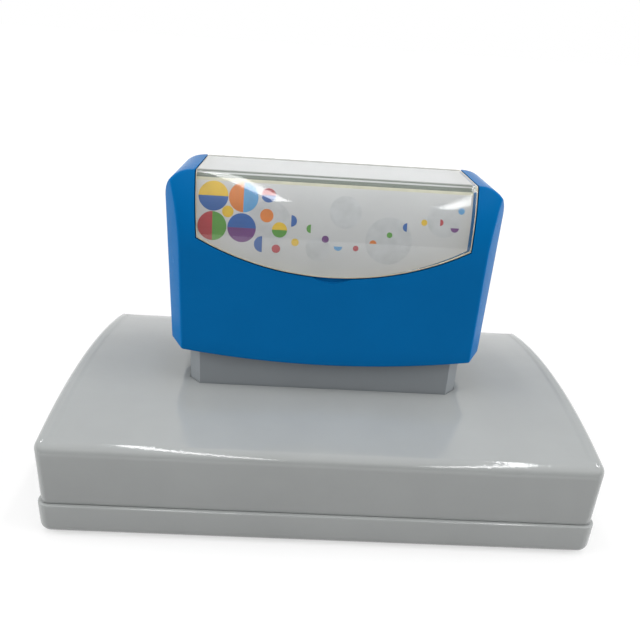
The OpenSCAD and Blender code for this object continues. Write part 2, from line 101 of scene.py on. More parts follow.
def share(name, description, default):
    """A plain number from nought to one."""
    return FloatProperty(name=name, description=description, default=default, min=0.0, max=1.0,
                         subtype="FACTOR")


def colour(name, description, default):
    """A linear colour for the sidebar."""
    return FloatVectorProperty(name=name, description=description, default=default, size=3,
                               min=0.0, max=1.0, subtype="COLOR")


class StampHousingSettings(PropertyGroup):
    corner: length("Corner radius", "Radius of the upright corners", 2.1 * MM)
    long_edge: length("Long edge radius", "Rounding of the long top edges", 2.7 * MM)
    end_edge: length("End edge radius", "Rounding of the arched end edges", 1.4 * MM)
    rise: length("Arch rise", "Rise of the arched top over its long edges", 4.3 * MM)
    rim_width: length("Rim width", "Width of the raised rim along each end", 2.6 * MM)
    rim_height: length("Rim height", "Height of the raised rim", 0.15 * MM)
    top_wall: length("Top wall", "Thickness of the arched top", 2.2 * MM)
    lip_step: length("Lip step", "Step from the housing's side in to its lip", 1.25 * MM)
    lip_wall: length("Lip wall", "Wall of the lip that enters the cap", 1.5 * MM)
    lip_height: length("Lip height", "Height of the lip", 4.1 * MM)
    slot_gap: length("Slot gap", "Gap between the slot and the stem", 0.15 * MM)
    slot_cut: length("Slot corner", "Corner chamfer of the slot", 2.65 * MM)
    collar_wall: length("Collar wall", "Wall of the guide collar under the slot", 1.8 * MM)
    collar_low: length("Collar foot", "Height of the collar's lower edge", 17.2 * MM)


class StampCapSettings(PropertyGroup):
    corner: length("Corner radius", "Radius of the cap's upright corners", 2.8 * MM)
    wall: length("Wall", "Wall of the cap", 1.6 * MM)
    floor: length("Floor", "Thickness of the cap's floor", 2.0 * MM)
    lower_edge: length("Lower edge", "Rounding of the lower edge", 2.5 * MM)
    rim_edge: length("Rim edge", "Rounding of the rim", 0.35 * MM)


class StampGripSettings(PropertyGroup):
    taper: length("Taper", "Narrowing of each side towards the foot", 0.9 * MM)
    shoulder: length("Shoulder radius", "Radius of the shoulders", 6.0 * MM)
    chamfer_w: length("Chamfer width", "Corner chamfer along the width", 3.9 * MM)
    chamfer_d: length("Chamfer depth", "Corner chamfer along the depth", 6.75 * MM)
    softening: length("Softening", "Rounding of the chamfer's edges", 0.8 * MM)
    top_depth: length("Flat top", "Depth of the flat top", 18.5 * MM)
    ridge_slope: FloatProperty(name="Ridge slope", description="Slope of the front where it meets the top",
                               default=math.radians(32.0), subtype="ANGLE")
    foot_sag: length("Foot sag", "Sag of the lower edge", 3.1 * MM)
    wall: length("Wall", "Wall of the grip", 2.0 * MM)


class StampWindowSettings(PropertyGroup):
    thickness: length("Thickness", "Thickness of the clear window", 1.4 * MM)
    sag: length("Lower edge sag", "Sag of the window's lower edge", 7.4 * MM)
    taper: length("Taper", "Narrowing of each side down to the lower corner", 0.6 * MM)
    gap: length("Gap", "Gap round the window", 0.2 * MM)
    recess: length("Recess depth", "Depth of the seat under the window", 1.8 * MM)
    card_inset: length("Card depth", "Depth of the card under the window's face", 1.45 * MM)
    card_thickness: length("Card thickness", "Thickness of the index card", 0.3 * MM)
    card_edge: length("Card edge", "Distance of the card's sides from the window's", 0.4 * MM)
    card_shift: length("Card shift", "How far the loose card lies to the left", 0.33 * MM)
    notch_width: length("Notch width", "Width of the pry notch", 8.0 * MM)
    notch_drop: length("Notch drop", "Reach of the pry notch below the window", 1.1 * MM)
    notch_depth: length("Notch depth", "Depth of the pry notch", 0.7 * MM)


class StampInsideSettings(PropertyGroup):
    wire: length("Wire", "Diameter of the spring wire", 0.9 * MM)
    turns: IntProperty(name="Turns", description="Turns in each return spring", default=9, min=4)
    face_margin: length("Face margin", "Clamped base round the stamping face", 2.0 * MM)
    face_height: length("Face height", "Height of the raised stamping face", 2.0 * MM)


class StampFinishSettings(PropertyGroup):
    housing: colour("Housing", "Pale grey of the housing and cap", (0.376, 0.390, 0.387))
    # The stem's grey is partly its own darker grey and partly painted shade for the shadow that the grip
    # casts on it
    stem: colour("Stem", "Grey of the stem", (0.265, 0.286, 0.302))
    grip: colour("Grip", "Blue of the grip", (0.002, 0.148, 0.42))
    clear: colour("Clear plastic", "Tint that thick clear plastic takes", (0.88, 0.92, 0.86))
    # The window's edge colour is a painted highlight: the cream line that light makes along the clear edge
    clear_edge_highlight: colour("Clear edge", "Cream line along the window's trimmed edges", (0.55, 0.50, 0.38))
    card: colour("Card", "White of the index card", (0.518, 0.516, 0.534))
    plate: colour("Plate", "Grey of the plate and frame", (0.16, 0.165, 0.17))
    foam: colour("Foam", "Dark grey of the stamping foam", (0.055, 0.056, 0.06))
    sponge: colour("Sponge", "Off-white of the ink reservoir", (0.62, 0.60, 0.55))
    steel: colour("Steel", "Bright steel of springs and screws", (0.60, 0.60, 0.59))


class StampStageSettings(PropertyGroup):
    lens: FloatProperty(name="Lens", description="Focal length in millimetres on a 36 mm sensor",
                        default=36.351, min=1.0)
    floor: colour("Floor", "Pale colour of the floor", (0.42, 0.42, 0.42))
    ambient: share("Ambient", "Soft light from the back, the sides and above", 0.51)
    front: share("Front", "Soft light from the low front, where the room is dark", 0.07)


# Outlines seen from above

def quarter(steps):
    """Even turns over a quarter circle, both ends included."""
    return [0.5 * math.pi * k / steps for k in range(steps + 1)]


def around(steps):
    """Even turns over a full circle."""
    return [2 * math.pi * i / steps for i in range(steps)]


def rounded_corner(half_w, half_d, radius_w, radius_d):
    """First-quarter corner from the end side to the long side, each point with its outward normal."""
    corner = []
    for turn in quarter(CORNER_STEPS):
        c, s = math.cos(turn), math.sin(turn)
        corner.append((half_w - radius_w * (1 - c), half_d - radius_d * (1 - s), c, s))
    return corner


def cut_corner(half_w, half_d, cut_w, cut_d, radius):
    """First-quarter corner with a chamfer whose two edges are softened."""
    lean = math.atan2(cut_w, cut_d)
    corner = []
    steps = CORNER_STEPS // 2
    edges = (((half_w, half_d - cut_d), 0.0, lean), ((half_w - cut_w, half_d), lean, 0.5 * math.pi))
    for (px, py), start, stop in edges:
        reach = radius / math.cos((stop - start) / 2)
        middle = (start + stop) / 2
        cx, cy = px - reach * math.cos(middle), py - reach * math.sin(middle)
        for i in range(steps + 1):
            turn = start + (stop - start) * i / steps
            c, s = math.cos(turn), math.sin(turn)
            corner.append((cx + radius * c, cy + radius * s, c, s))
    return corner


def loop(corner, along, across):
    """Closed loop from one corner mirrored into four, with points added on the straight sides."""
    quarters = [
        corner,
        [(-x, y, -nx, ny) for x, y, nx, ny in reversed(corner)],
        [(-x, -y, -nx, -ny) for x, y, nx, ny in corner],
        [(x, -y, nx, -ny) for x, y, nx, ny in reversed(corner)],
    ]
    points = []
    for i, extra in enumerate((along, across, along, across)):
        points += quarters[i]
        a, b = quarters[i][-1], quarters[(i + 1) % 4][0]
        for k in range(1, extra + 1):
            t = k / (extra + 1)
            points.append(tuple(p + (q - p) * t for p, q in zip(a, b)))
    return points


def level(points, z):
    """A loop laid flat at one height."""
    return [Vector((p[0], p[1], z)) for p in points]


def between(a, b, t, height):
    """A loop part of the way from one loop to another, on a surface given by its height."""
    ring = []
    for p, q in zip(a, b):
        x, y = p.x + (q.x - p.x) * t, p.y + (q.y - p.y) * t
        ring.append(Vector((x, y, height(x, y))))
    return ring


def smooth_step(low, high, value):
    t = min(1.0, max(0.0, (value - low) / (high - low)))
    return t * t * (3 - 2 * t)


# Meshes and pieces

def loft(rings, closed=False, first_cap=False, last_cap=False):
    """Vertices and faces of a skin over loops of equal count."""
    count = len(rings[0])
    vertices = [point for ring in rings for point in ring]
    faces = []
    for a in range(len(rings) if closed else len(rings) - 1):
        b = (a + 1) % len(rings)
        for i in range(count):
            j = (i + 1) % count
            faces.append((a * count + i, a * count + j, b * count + j, b * count + i))
    if first_cap:
        faces.append(tuple(range(count)))
    if last_cap:
        faces.append(tuple(range((len(rings) - 1) * count, len(rings) * count)))
    return vertices, faces


def new_mesh(name, vertices, faces, marks=None):
    """A welded mesh with its normals outwards, and a material number for each face where marks are given."""
    mesh = bpy.data.meshes.new(name)
    mesh.from_pydata([tuple(v) for v in vertices], [], faces)
    if marks:
        mesh.polygons.foreach_set("material_index", marks)
    work = bmesh.new()
    work.from_mesh(mesh)
    bmesh.ops.remove_doubles(work, verts=work.verts, dist=1e-6)
    bmesh.ops.dissolve_degenerate(work, edges=work.edges, dist=1e-7)
    bmesh.ops.recalc_face_normals(work, faces=work.faces)
    work.to_mesh(mesh)
    work.free()
    return mesh


def new_piece(name, mesh, body, material, nodes=(), crease=32.0):
    """Puts a mesh in the scene as a piece that rides on a body."""
    piece = bpy.data.objects.new(name, mesh)
    bpy.context.scene.collection.objects.link(piece)
    mesh.materials.append(material)
    mesh.shade_smooth()
    mesh.set_sharp_from_angle(angle=math.radians(crease))
    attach(piece, body)
    if nodes:
        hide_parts(*nodes)
    return piece


def cut_away(mesh, cutters):
    """A copy of a mesh with other meshes taken out of it."""
    body = bpy.data.objects.new("cut_body", mesh)
    bpy.context.scene.collection.objects.link(body)
    tools = []
    for i, cutter in enumerate(cutters):
        tool = bpy.data.objects.new("cut_tool_%d" % i, cutter)
        bpy.context.scene.collection.objects.link(tool)
        step = body.modifiers.new("cut_%d" % i, "BOOLEAN")
        step.operation = "DIFFERENCE"
        step.solver = "EXACT"
        step.object = tool
        tools.append(tool)
    graph = bpy.context.evaluated_depsgraph_get()
    result = bpy.data.meshes.new_from_object(body.evaluated_get(graph))
    for obj in tools + [body]:
        bpy.data.objects.remove(obj)
    return result


def bevelled_block(low, high, edge):
    """Vertices and faces of an upright rib or bar with softened edges."""
    middle = [(a + b) / 2 for a, b in zip(low, high)]
    half = [(b - a) / 2 for a, b in zip(low, high)]
    bevel = 0.3 * edge
    corner = [(half[0], half[1] - edge), (half[0] - bevel, half[1] - bevel), (half[0] - edge, half[1])]
    outline = []
    for sx, sy, points in ((1, 1, corner), (-1, 1, corner[::-1]), (-1, -1, corner), (1, -1, corner[::-1])):
        outline += [(middle[0] + sx * x, middle[1] + sy * y) for x, y in points]
    rings = []
    for inset, z in ((edge, low[2]), (0.0, low[2] + edge), (0.0, high[2] - edge), (edge, high[2])):
        shrink = [1 - inset / half[0], 1 - inset / half[1]]
        rings.append([Vector((middle[0] + (x - middle[0]) * shrink[0],
                              middle[1] + (y - middle[1]) * shrink[1], z)) for x, y in outline])
    return loft(rings, first_cap=True, last_cap=True)


def joined(parts):
    """Several vertex and face lists as one."""
    vertices, faces = [], []
    for part_vertices, part_faces in parts:
        start = len(vertices)
        vertices += list(part_vertices)
        faces += [tuple(start + i for i in face) for face in part_faces]
    return vertices, faces


# Finishes

class Nodes:
    """Short ways to add nodes to a tree."""

    def __init__(self, tree, coordinates):
        self.tree = tree
        self.place = self.add("ShaderNodeTexCoord").outputs[coordinates]

    def add(self, kind, **values):
        node = self.tree.nodes.new(kind)
        for key, value in values.items():
            setattr(node, key, value)
        return node

    def link(self, source, target):
        self.tree.links.new(source, target)

    def noise(self, scale, detail=3.0, roughness=0.55, stretch=None):
        """Noise in object space, drawn out along an axis where a stretch is given."""
        place = self.place
        if stretch is not None:
            mapping = self.add("ShaderNodeMapping")
            mapping.inputs["Scale"].default_value = stretch
            self.link(place, mapping.inputs["Vector"])
            place = mapping.outputs["Vector"]
        node = self.add("ShaderNodeTexNoise")
        node.inputs["Scale"].default_value = scale
        node.inputs["Detail"].default_value = detail
        node.inputs["Roughness"].default_value = roughness
        self.link(place, node.inputs["Vector"])
        return node.outputs["Fac"]

    def cells(self, scale, randomness=1.0):
        node = self.add("ShaderNodeTexVoronoi")
        node.inputs["Scale"].default_value = scale
        node.inputs["Randomness"].default_value = randomness
        self.link(self.place, node.inputs["Vector"])
        return node.outputs["Distance"]

    def spread(self, source, from_low, from_high, low, high):
        """A number brought from one range into another."""
        node = self.add("ShaderNodeMapRange")
        node.inputs["From Min"].default_value = from_low
        node.inputs["From Max"].default_value = from_high
        node.inputs["To Min"].default_value = low
        node.inputs["To Max"].default_value = high
        self.link(source, node.inputs["Value"])
        return node.outputs["Result"]

    def sum(self, a, b, operation="ADD"):
        node = self.add("ShaderNodeMath", operation=operation)
        self.link(a, node.inputs[0])
        self.link(b, node.inputs[1])
        return node.outputs["Value"]

    def mix(self, factor, first, second):
        """A colour between two, each plain or from another node, by a number."""
        node = self.add("ShaderNodeMix", data_type="RGBA")
        for socket, value in zip([s for s in node.inputs if s.type == "RGBA"], (first, second)):
            if isinstance(value, tuple):
                socket.default_value = (*value, 1.0)
            else:
                self.link(value, socket)
        self.link(factor, node.inputs["Factor"])
        return next(s for s in node.outputs if s.type == "RGBA")

    def graded(self, factor, tint, low, high):
        """A tint made darker and lighter by a noise."""
        return self.mix(self.spread(factor, 0.3, 0.7, 0.0, 1.0), scaled(tint, low), scaled(tint, high))

    def backdrop_rays(self):
        """One for the rays that show the backdrop: the camera's, and those that met only gloss or glass."""
        path = self.add("ShaderNodeLightPath")
        seen = self.sum(path.outputs["Is Camera Ray"], path.outputs["Is Glossy Ray"], "MAXIMUM")
        seen = self.sum(seen, path.outputs["Is Transmission Ray"], "MAXIMUM")
        return self.sum(seen, self.spread(path.outputs["Diffuse Depth"], 0.0, 1.0, 1.0, 0.0), "MULTIPLY")


class Finish(Nodes):
    """A node material with one Principled shader."""

    def __init__(self, name):
        self.material = bpy.data.materials.new(name)
        self.material.use_nodes = True
        super().__init__(self.material.node_tree, "Object")
        self.shader = next(n for n in self.tree.nodes if n.type == "BSDF_PRINCIPLED")
        self.output = next(n for n in self.tree.nodes if n.type == "OUTPUT_MATERIAL")

    def set(self, **values):
        for key, value in values.items():
            self.shader.inputs[key.replace("_", " ")].default_value = value

    def feed(self, socket, source):
        self.link(source, self.shader.inputs[socket])

    def bump(self, height, distance):
        node = self.add("ShaderNodeBump")
        node.inputs["Strength"].default_value = 1.0
        node.inputs["Distance"].default_value = distance
        self.link(height, node.inputs["Height"])
        self.feed("Normal", node.outputs["Normal"])


def scaled(tint, factor):
    return tuple(min(1.0, c * factor) for c in tint)


def moulded_plastic(name, tint, rough, grain, depth, specular=0.5):
    """Moulded plastic: faint flow mottling, a fine skin, handling scuffs and a few dust specks."""
    f = Finish(name)
    base = f.graded(f.noise(55.0, 4.0), tint, 0.965, 1.03)
    specks = f.spread(f.cells(210.0), 0.018, 0.03, 1.0, 0.0)
    rare = f.spread(f.noise(140.0, 1.0), 0.68, 0.7, 0.0, 0.55)
    f.feed("Base Color", f.mix(f.sum(specks, rare, "MULTIPLY"), base, scaled(tint, 0.45)))
    skin = f.noise(grain, 2.0)
    scuff = f.noise(130.0, 3.0, stretch=(0.25, 1.6, 1.0))
    f.feed("Roughness", f.sum(f.spread(scuff, 0.52, 0.72, 0.0, 0.05),
                              f.spread(skin, 0.3, 0.7, rough - 0.02, rough + 0.02)))
    f.set(Specular_IOR_Level=specular)
    f.bump(skin, depth)
    return f.material


def clear_plastic(name, tint):
    """Clear plastic with fine wiping marks; it lets lamplight through to the card."""
    f = Finish(name)
    f.set(Transmission_Weight=1.0, IOR=1.49)
    wipe = f.noise(210.0, 3.0, stretch=(0.2, 1.0, 1.5))
    f.feed("Roughness", f.spread(wipe, 0.4, 0.75, 0.03, 0.09))
    haze = f.spread(f.noise(60.0, 2.0), 0.3, 0.7, 0.0, 1.0)
    f.feed("Base Color", f.mix(haze, (0.985, 0.99, 0.985), (1.0, 1.0, 1.0)))
    f.bump(f.noise(90.0, 2.0), 0.004 * MM)
    through = f.add("ShaderNodeBsdfTransparent")
    through.inputs["Color"].default_value = (0.93, 0.95, 0.94, 1.0)
    choose = f.add("ShaderNodeMixShader")
    f.link(f.add("ShaderNodeLightPath").outputs["Is Shadow Ray"], choose.inputs["Fac"])
    f.link(f.shader.outputs["BSDF"], choose.inputs[1])
    f.link(through.outputs["BSDF"], choose.inputs[2])
    f.link(choose.outputs["Shader"], f.output.inputs["Surface"])
    inside = f.add("ShaderNodeVolumeAbsorption")
    inside.inputs["Color"].default_value = (*tint, 1.0)
    inside.inputs["Density"].default_value = 90.0
    f.link(inside.outputs["Volume"], f.output.inputs["Volume"])
    return f.material


def clear_edge_highlight(name, tint):
    """The window's trimmed edge, faintly frosted and painted an opaque cream: a painted highlight for the
    light that gathers along the edge.
    """
    f = Finish(name)
    mill = f.noise(700.0, 3.0, stretch=(1.0, 1.0, 0.2))
    f.feed("Base Color", f.graded(mill, tint, 0.85, 1.15))
    f.feed("Roughness", f.spread(mill, 0.3, 0.7, 0.25, 0.45))
    f.bump(mill, 0.01 * MM)
    return f.material


def card_paper(name, tint):
    """Coated card: fibres, a faint cloudiness and a low sheen."""
    f = Finish(name)
    base = f.graded(f.noise(90.0, 4.0), tint, 0.96, 1.03)
    fibre = f.noise(1500.0, 3.0, stretch=(0.25, 1.0, 1.0))
    f.feed("Base Color", f.mix(f.spread(fibre, 0.6, 0.75, 0.0, 0.25), base, scaled(tint, 0.86)))
    f.feed("Roughness", f.spread(fibre, 0.3, 0.7, 0.5, 0.62))
    f.bump(fibre, 0.006 * MM)
    return f.material


def ink_and_ridge_paint(name, tint):
    """Ink on the card, with the uneven lay of a fine screen; it also makes the painted shade and painted
    highlight lines along the ridge.
    """
    f = Finish(name)
    lay = f.noise(420.0, 3.0)
    base = f.graded(lay, tint, 0.9, 1.08)
    screen = f.spread(f.cells(3600.0, randomness=0.15), 0.05, 0.3, 0.0, 0.05)
    f.feed("Base Color", f.mix(screen, base, (0.8, 0.8, 0.8)))
    f.feed("Roughness", f.spread(lay, 0.3, 0.7, 0.42, 0.55))
    f.bump(lay, 0.002 * MM)
    return f.material


def drawn_steel(name, tint, rough):
    """Bright drawn or plated steel with fine lines and dull spots."""
    f = Finish(name)
    f.set(Metallic=1.0)
    line = f.noise(900.0, 3.0, stretch=(1.0, 1.0, 0.12))
    dull = f.noise(260.0, 4.0)
    f.feed("Base Color", f.mix(f.spread(dull, 0.35, 0.7, 0.0, 1.0), tint, scaled(tint, 0.8)))
    worn = f.sum(line, dull, "MULTIPLY")
    f.feed("Roughness", f.spread(worn, 0.12, 0.4, rough - 0.06, rough + 0.14))
    f.bump(line, 0.004 * MM)
    return f.material


def porous(name, tint, pore_scale, pore_depth, ink):
    """Open-cell foam or sponge: pores of two sizes, with painted shade darkening them inside, and a bloom of
    ink.
    """
    f = Finish(name)
    coarse = f.cells(pore_scale)
    fine = f.cells(pore_scale * 2.7)
    pores = f.sum(f.spread(coarse, 0.12, 0.5, 0.0, 0.7), f.spread(fine, 0.1, 0.45, 0.0, 0.3))
    # Painted shade: the pores are darker inside
    base = f.mix(pores, scaled(tint, 0.45), scaled(tint, 1.1))
    f.feed("Base Color", f.mix(f.spread(f.noise(70.0, 4.0), 0.5, 0.75, 0.0, 0.5), base, ink))
    f.feed("Roughness", f.spread(fine, 0.0, 0.5, 0.7, 0.95))
    f.set(Specular_IOR_Level=0.25)
    f.bump(pores, pore_depth)
    return f.material


def finish(name):
    """Makes each finish once and hands it out by name."""
    made = bpy.data.materials.get(name)
    if made is None:
        t = bpy.context.scene.stamp_finish
        make, tint, *values = {
            "housing_grey_plastic": (moulded_plastic, t.housing, 0.06, 900.0, 0.02 * MM, 0.6),
            # The stem's finish is darkened with painted shade from the grip above
            "stem_grey_plastic": (moulded_plastic, t.stem, 0.3, 1100.0, 0.006 * MM),
            "grip_blue_plastic": (moulded_plastic, t.grip, 0.24, 4500.0, 0.0008 * MM, 0.025),
            "plate_dark_plastic": (moulded_plastic, t.plate, 0.38, 1300.0, 0.01 * MM),
            "clear_window_plastic": (clear_plastic, t.clear),
            "clear_window_edge": (clear_edge_highlight, t.clear_edge_highlight),
            "index_card_paper": (card_paper, t.card),
            "spring_steel": (drawn_steel, t.steel, 0.22),
            "screw_steel": (drawn_steel, scaled(tuple(t.steel), 1.05), 0.3),
            "stamping_foam": (porous, t.foam, 2600.0, 0.05 * MM, (0.012, 0.012, 0.014)),
            "reservoir_sponge": (porous, t.sponge, 1500.0, 0.12 * MM, (0.05, 0.05, 0.06)),
        }[name]
        made = make(name, tuple(tint), *values)
    return made


# Housing and cap

class STAMP_OT_housing(Operator):
    """Arched housing with its raised end rims, slot, collar and lip"""
    bl_idname = "stamp.housing"
    bl_label = "Housing"

    def execute(self, context):
        s = context.scene.stamp_housing
        half_w, half_d = HOUSING_HIGH.x, HOUSING_HIGH.y
        crest = HOUSING_HIGH.z - s.rim_height
        foot = HOUSING_LOW.z
        shoulder = foot + s.lip_height
        radius = (half_d ** 2 + s.rise ** 2) / (2 * s.rise)
        axis = crest - radius
        along, across = 40, 22
        least_r = 0.12 * MM

        def arch(y):
            return axis + math.sqrt(radius ** 2 - y ** 2)

        def top(x, y):
            rim = 1 - smooth_step(s.rim_width - 0.3 * MM, s.rim_width + 0.7 * MM, half_w - abs(x))
            return arch(y) + s.rim_height * rim

        def ceiling(x, y):
            return axis + math.sqrt((radius - s.top_wall) ** 2 - y ** 2)

        def plain(inset_w, inset_d, base_r):
            corner = rounded_corner(half_w - inset_w, half_d - inset_d,
                                    max(base_r - inset_w, least_r), max(base_r - inset_d, least_r))
            return loop(corner, along, across)

        def octagon(grow, cut):
            return loop(cut_corner(STEM_HIGH.x + grow, STEM_HIGH.y + grow, cut, cut, 0.3 * MM), along, across)

        rings = []
        lip = s.lip_step
        cavity = s.lip_step + s.lip_wall
        edge = 0.15 * MM
        soft = 0.1 * MM
        for inset, z in ((cavity - edge, foot), (lip + edge, foot), (lip + soft, foot + soft),
                         (lip, foot + edge), (lip, shoulder - 2 * soft), (lip + soft / 2, shoulder)):
            rings.append(level(plain(inset, inset, s.corner), z))
        for turn in quarter(4):
            inset = edge * (1 - math.sin(turn))
            rings.append(level(plain(inset, inset, s.corner), shoulder + edge * (1 - math.cos(turn))))
        rings.append(level(plain(0, 0, s.corner), (shoulder + crest - s.rise) / 2))
        reach = radius - s.long_edge
        centre_y = half_d - s.long_edge
        centre_z = axis + math.sqrt(reach ** 2 - centre_y ** 2)
        lean = math.asin(centre_y / reach)
        steps = 9
        for k in range(steps + 1):
            turn_end = 0.5 * math.pi * k / steps
            turn_long = (0.5 * math.pi - lean) * k / steps
            inset_w = s.end_edge * (1 - math.cos(turn_end))
            inset_d = s.long_edge * (1 - math.cos(turn_long))
            ring = []
            for x, y, nx, ny in plain(inset_w, inset_d, s.corner):
                z_end = arch(y) + s.rim_height - s.end_edge * (1 - math.sin(turn_end))
                z_long = centre_z + s.long_edge * math.sin(turn_long)
                ring.append(Vector((x, y, nx * nx * z_end + ny * ny * z_long)))
            rings.append(ring)
        last_w = s.end_edge
        last_d = s.long_edge * (1 - math.sin(lean))
        rim_rows = (0.3, 0.6, 0.9, 1.2, 1.5, 1.8, 2.1, 2.4, 2.8, 3.4)
        for extra in rim_rows:
            ring = plain(last_w + extra * MM, last_d + extra * MM, s.corner)
            rings.append([Vector((x, y, top(x, y))) for x, y, nx, ny in ring])
        slot_edge = 0.2 * MM
        outer = rings[-1]
        inner = level(octagon(s.slot_gap + slot_edge, s.slot_cut), 0)
        top_rows, roof_rows = 14, 8
        for k in range(1, top_rows + 1):
            rings.append(between(outer, inner, k / top_rows, top))
        for turn in quarter(3)[1:]:
            ring = level(octagon(s.slot_gap + slot_edge * (1 - math.sin(turn)), s.slot_cut), 0)
            rings.append([Vector((p.x, p.y, top(p.x, p.y) - slot_edge * (1 - math.cos(turn)))) for p in ring])
        rings.append(level(octagon(s.slot_gap, s.slot_cut), s.collar_low))
        collar = octagon(s.slot_gap + s.collar_wall, s.slot_cut + s.collar_wall * (2 - math.sqrt(2)))
        rings.append(level(collar, s.collar_low))
        collar_top = [Vector((x, y, ceiling(x, y))) for x, y, nx, ny in collar]
        rings.append(collar_top)
        wall = level(plain(cavity, cavity, s.corner), 0)
        for k in range(1, roof_rows + 1):
            rings.append(between(collar_top, wall, k / roof_rows, ceiling))
        rings.append(level(plain(cavity, cavity, s.corner), foot + edge))
        mesh = new_mesh("housing_shell", *loft(rings, closed=True))
        grey = finish("housing_grey_plastic")
        new_piece("housing_shell", mesh, "housing", grey, ["housing"])
        return {"FINISHED"}


class STAMP_OT_housing_inside(Operator):
    """Bridges that carry the springs and ribs that tie the collar to the walls"""
    bl_idname = "stamp.housing_inside"
    bl_label = "Housing inside"

    def execute(self, context):
        s = context.scene.stamp_housing
        spring_x = (SPRING_LOW.x + SPRING_HIGH.x) / 2
        low, bridge_top = s.collar_low, SPRING_LOW.z - 0.05 * MM
        seat = (SPRING_HIGH.x - SPRING_LOW.x) / 2 + 1 * MM
        post, post_top, soft = 3.3 * MM, bridge_top + 4 * MM, 0.2 * MM
        bridge_half, rib_half, rib_low = 2 * MM, 0.8 * MM, 18.85 * MM
        parts = []
        reach = STEM_HIGH.y + s.slot_gap + s.collar_wall / 2
        inside = HOUSING_HIGH - Vector((1, 1, 0)) * (s.lip_step + s.lip_wall)
        rib_x = (STEM_HIGH.x + inside.x) / 2
        radius = (HOUSING_HIGH.y ** 2 + s.rise ** 2) / (2 * s.rise)
        under = HOUSING_HIGH.z - s.rim_height - s.top_wall - radius
        for side in (-1, 1):
            x = side * spring_x
            parts.append(bevelled_block((x - bridge_half, -reach, low),
                                        (x + bridge_half, reach, bridge_top), 0.25 * MM))
            profile = [(0.0, low), (seat - soft, low), (seat, low + soft), (seat, bridge_top - soft),
                       (seat - soft, bridge_top), (post, bridge_top), (post, post_top - 0.6 * MM),
                       (post - 0.6 * MM, post_top), (0.0, post_top)]
            parts.append(turned(profile, (x, 0), 40))
            x_low, x_high = sorted((side * (STEM_HIGH.x + 2 * MM), side * (inside.x + soft)))
            high = under + radius + 0.3 * MM
            parts.append(bevelled_block((x_low, -rib_half, rib_low), (x_high, rib_half, high), soft))
            x = side * rib_x
            high = under + math.sqrt(radius ** 2 - inside.y ** 2) + 0.1 * MM
            for y_side in (-1, 1):
                y_low, y_high = sorted((0.6 * MM * y_side, y_side * (inside.y + soft)))
                parts.append(bevelled_block((x - rib_half, y_low, rib_low),
                                            (x + rib_half, y_high, high), soft))
        mesh = new_mesh("housing_bridges", *joined(parts))
        new_piece("housing_bridges", mesh, "housing", finish("housing_grey_plastic"))
        return {"FINISHED"}


def turned(profile, centre, steps):
    """A solid turned about an upright line from a profile of radius and height."""
    rings = []
    for r, z in profile:
        r = max(r, 1e-7)
        rings.append([Vector((centre[0] + r * math.cos(a), centre[1] + r * math.sin(a), z))
                      for a in around(steps)])
    return loft(rings, first_cap=True, last_cap=True)


class STAMP_OT_dust_cap(Operator):
    """Dust cap: a tray with a rounded lower edge, a soft rim, grip ribs and its gate mark"""
    bl_idname = "stamp.dust_cap"
    bl_label = "Dust cap"

    def execute(self, context):
        s = context.scene.stamp_cap
        half_w, half_d, high = CAP_HIGH.x, CAP_HIGH.y, CAP_HIGH.z
        least_r = 0.3 * MM

        def ring(inset, z):
            radius = max(s.corner - inset, least_r)
            corner = rounded_corner(half_w - inset, half_d - inset, radius, radius)
            return level(loop(corner, LONG_POINTS, END_POINTS), z)

        rings = [ring(s.lower_edge + 6 * MM, 0.0)]
        for turn in quarter(8):
            rings.append(ring(s.lower_edge * (1 - math.sin(turn)), s.lower_edge * (1 - math.cos(turn))))
        for turn in quarter(5):
            rings.append(ring(s.rim_edge * (1 - math.cos(turn)), high - s.rim_edge * (1 - math.sin(turn))))
        soft, well = 0.25 * MM, 0.6 * MM
        for turn in quarter(3):
            rings.append(ring(s.wall - soft * (1 - math.sin(turn)), high - soft * (1 - math.cos(turn))))
        for turn in quarter(4):
            rings.append(ring(s.wall + well * (1 - math.cos(turn)), s.floor + well * (1 - math.sin(turn))))
        rings.append(ring(s.wall + 8 * MM, s.floor))
        mesh = new_mesh("dust_cap_tray", *loft(rings, first_cap=True, last_cap=True))
        grey = finish("housing_grey_plastic")
        new_piece("dust_cap_tray", mesh, "cap", grey, ["dust_cap"])
        parts = []
        bore_w, bore_d = 2 * (half_w - s.wall), half_d - s.wall
        ribs_a_side, rib_half, rib_out, root = 4, 0.8 * MM, 0.25 * MM, 0.3 * MM
        rib_low, rib_high = s.floor - 0.2 * MM, high - 0.9 * MM
        for side in (-1, 1):
            for i in range(1, ribs_a_side + 1):
                x = -bore_w / 2 + i * bore_w / (ribs_a_side + 1)
                y_low, y_high = sorted((side * (bore_d - rib_out), side * (bore_d + root)))
                parts.append(bevelled_block((x - rib_half, y_low, rib_low),
                                            (x + rib_half, y_high, rib_high), 0.1 * MM))
        parts.append(self.gate_mark(half_w, half_d, s.lower_edge))
        ribs = new_mesh("dust_cap_ribs", *joined(parts))
        new_piece("dust_cap_ribs", ribs, "cap", grey)
        return {"FINISHED"}

    @staticmethod
    def gate_mark(half_w, half_d, edge):
        """A low nub on the rounded lower edge, near the front left corner."""
        out, across = Vector((0, -1, -0.445)).normalized(), Vector((1, 0, 0))
        down = out.cross(across)
        middle = Vector((-0.885 * half_w, edge - half_d, edge)) + out * edge
        rings = []
        for r, lift in ((0.5, -0.2), (0.5, -0.02), (0.4, 0.05), (0.2, 0.08)):
            rings.append([middle + (out * lift + (across * math.cos(a) + down * math.sin(a)) * r) * MM
                          for a in around(20)])
        return loft(rings, first_cap=True, last_cap=True)


# Grip, window and card

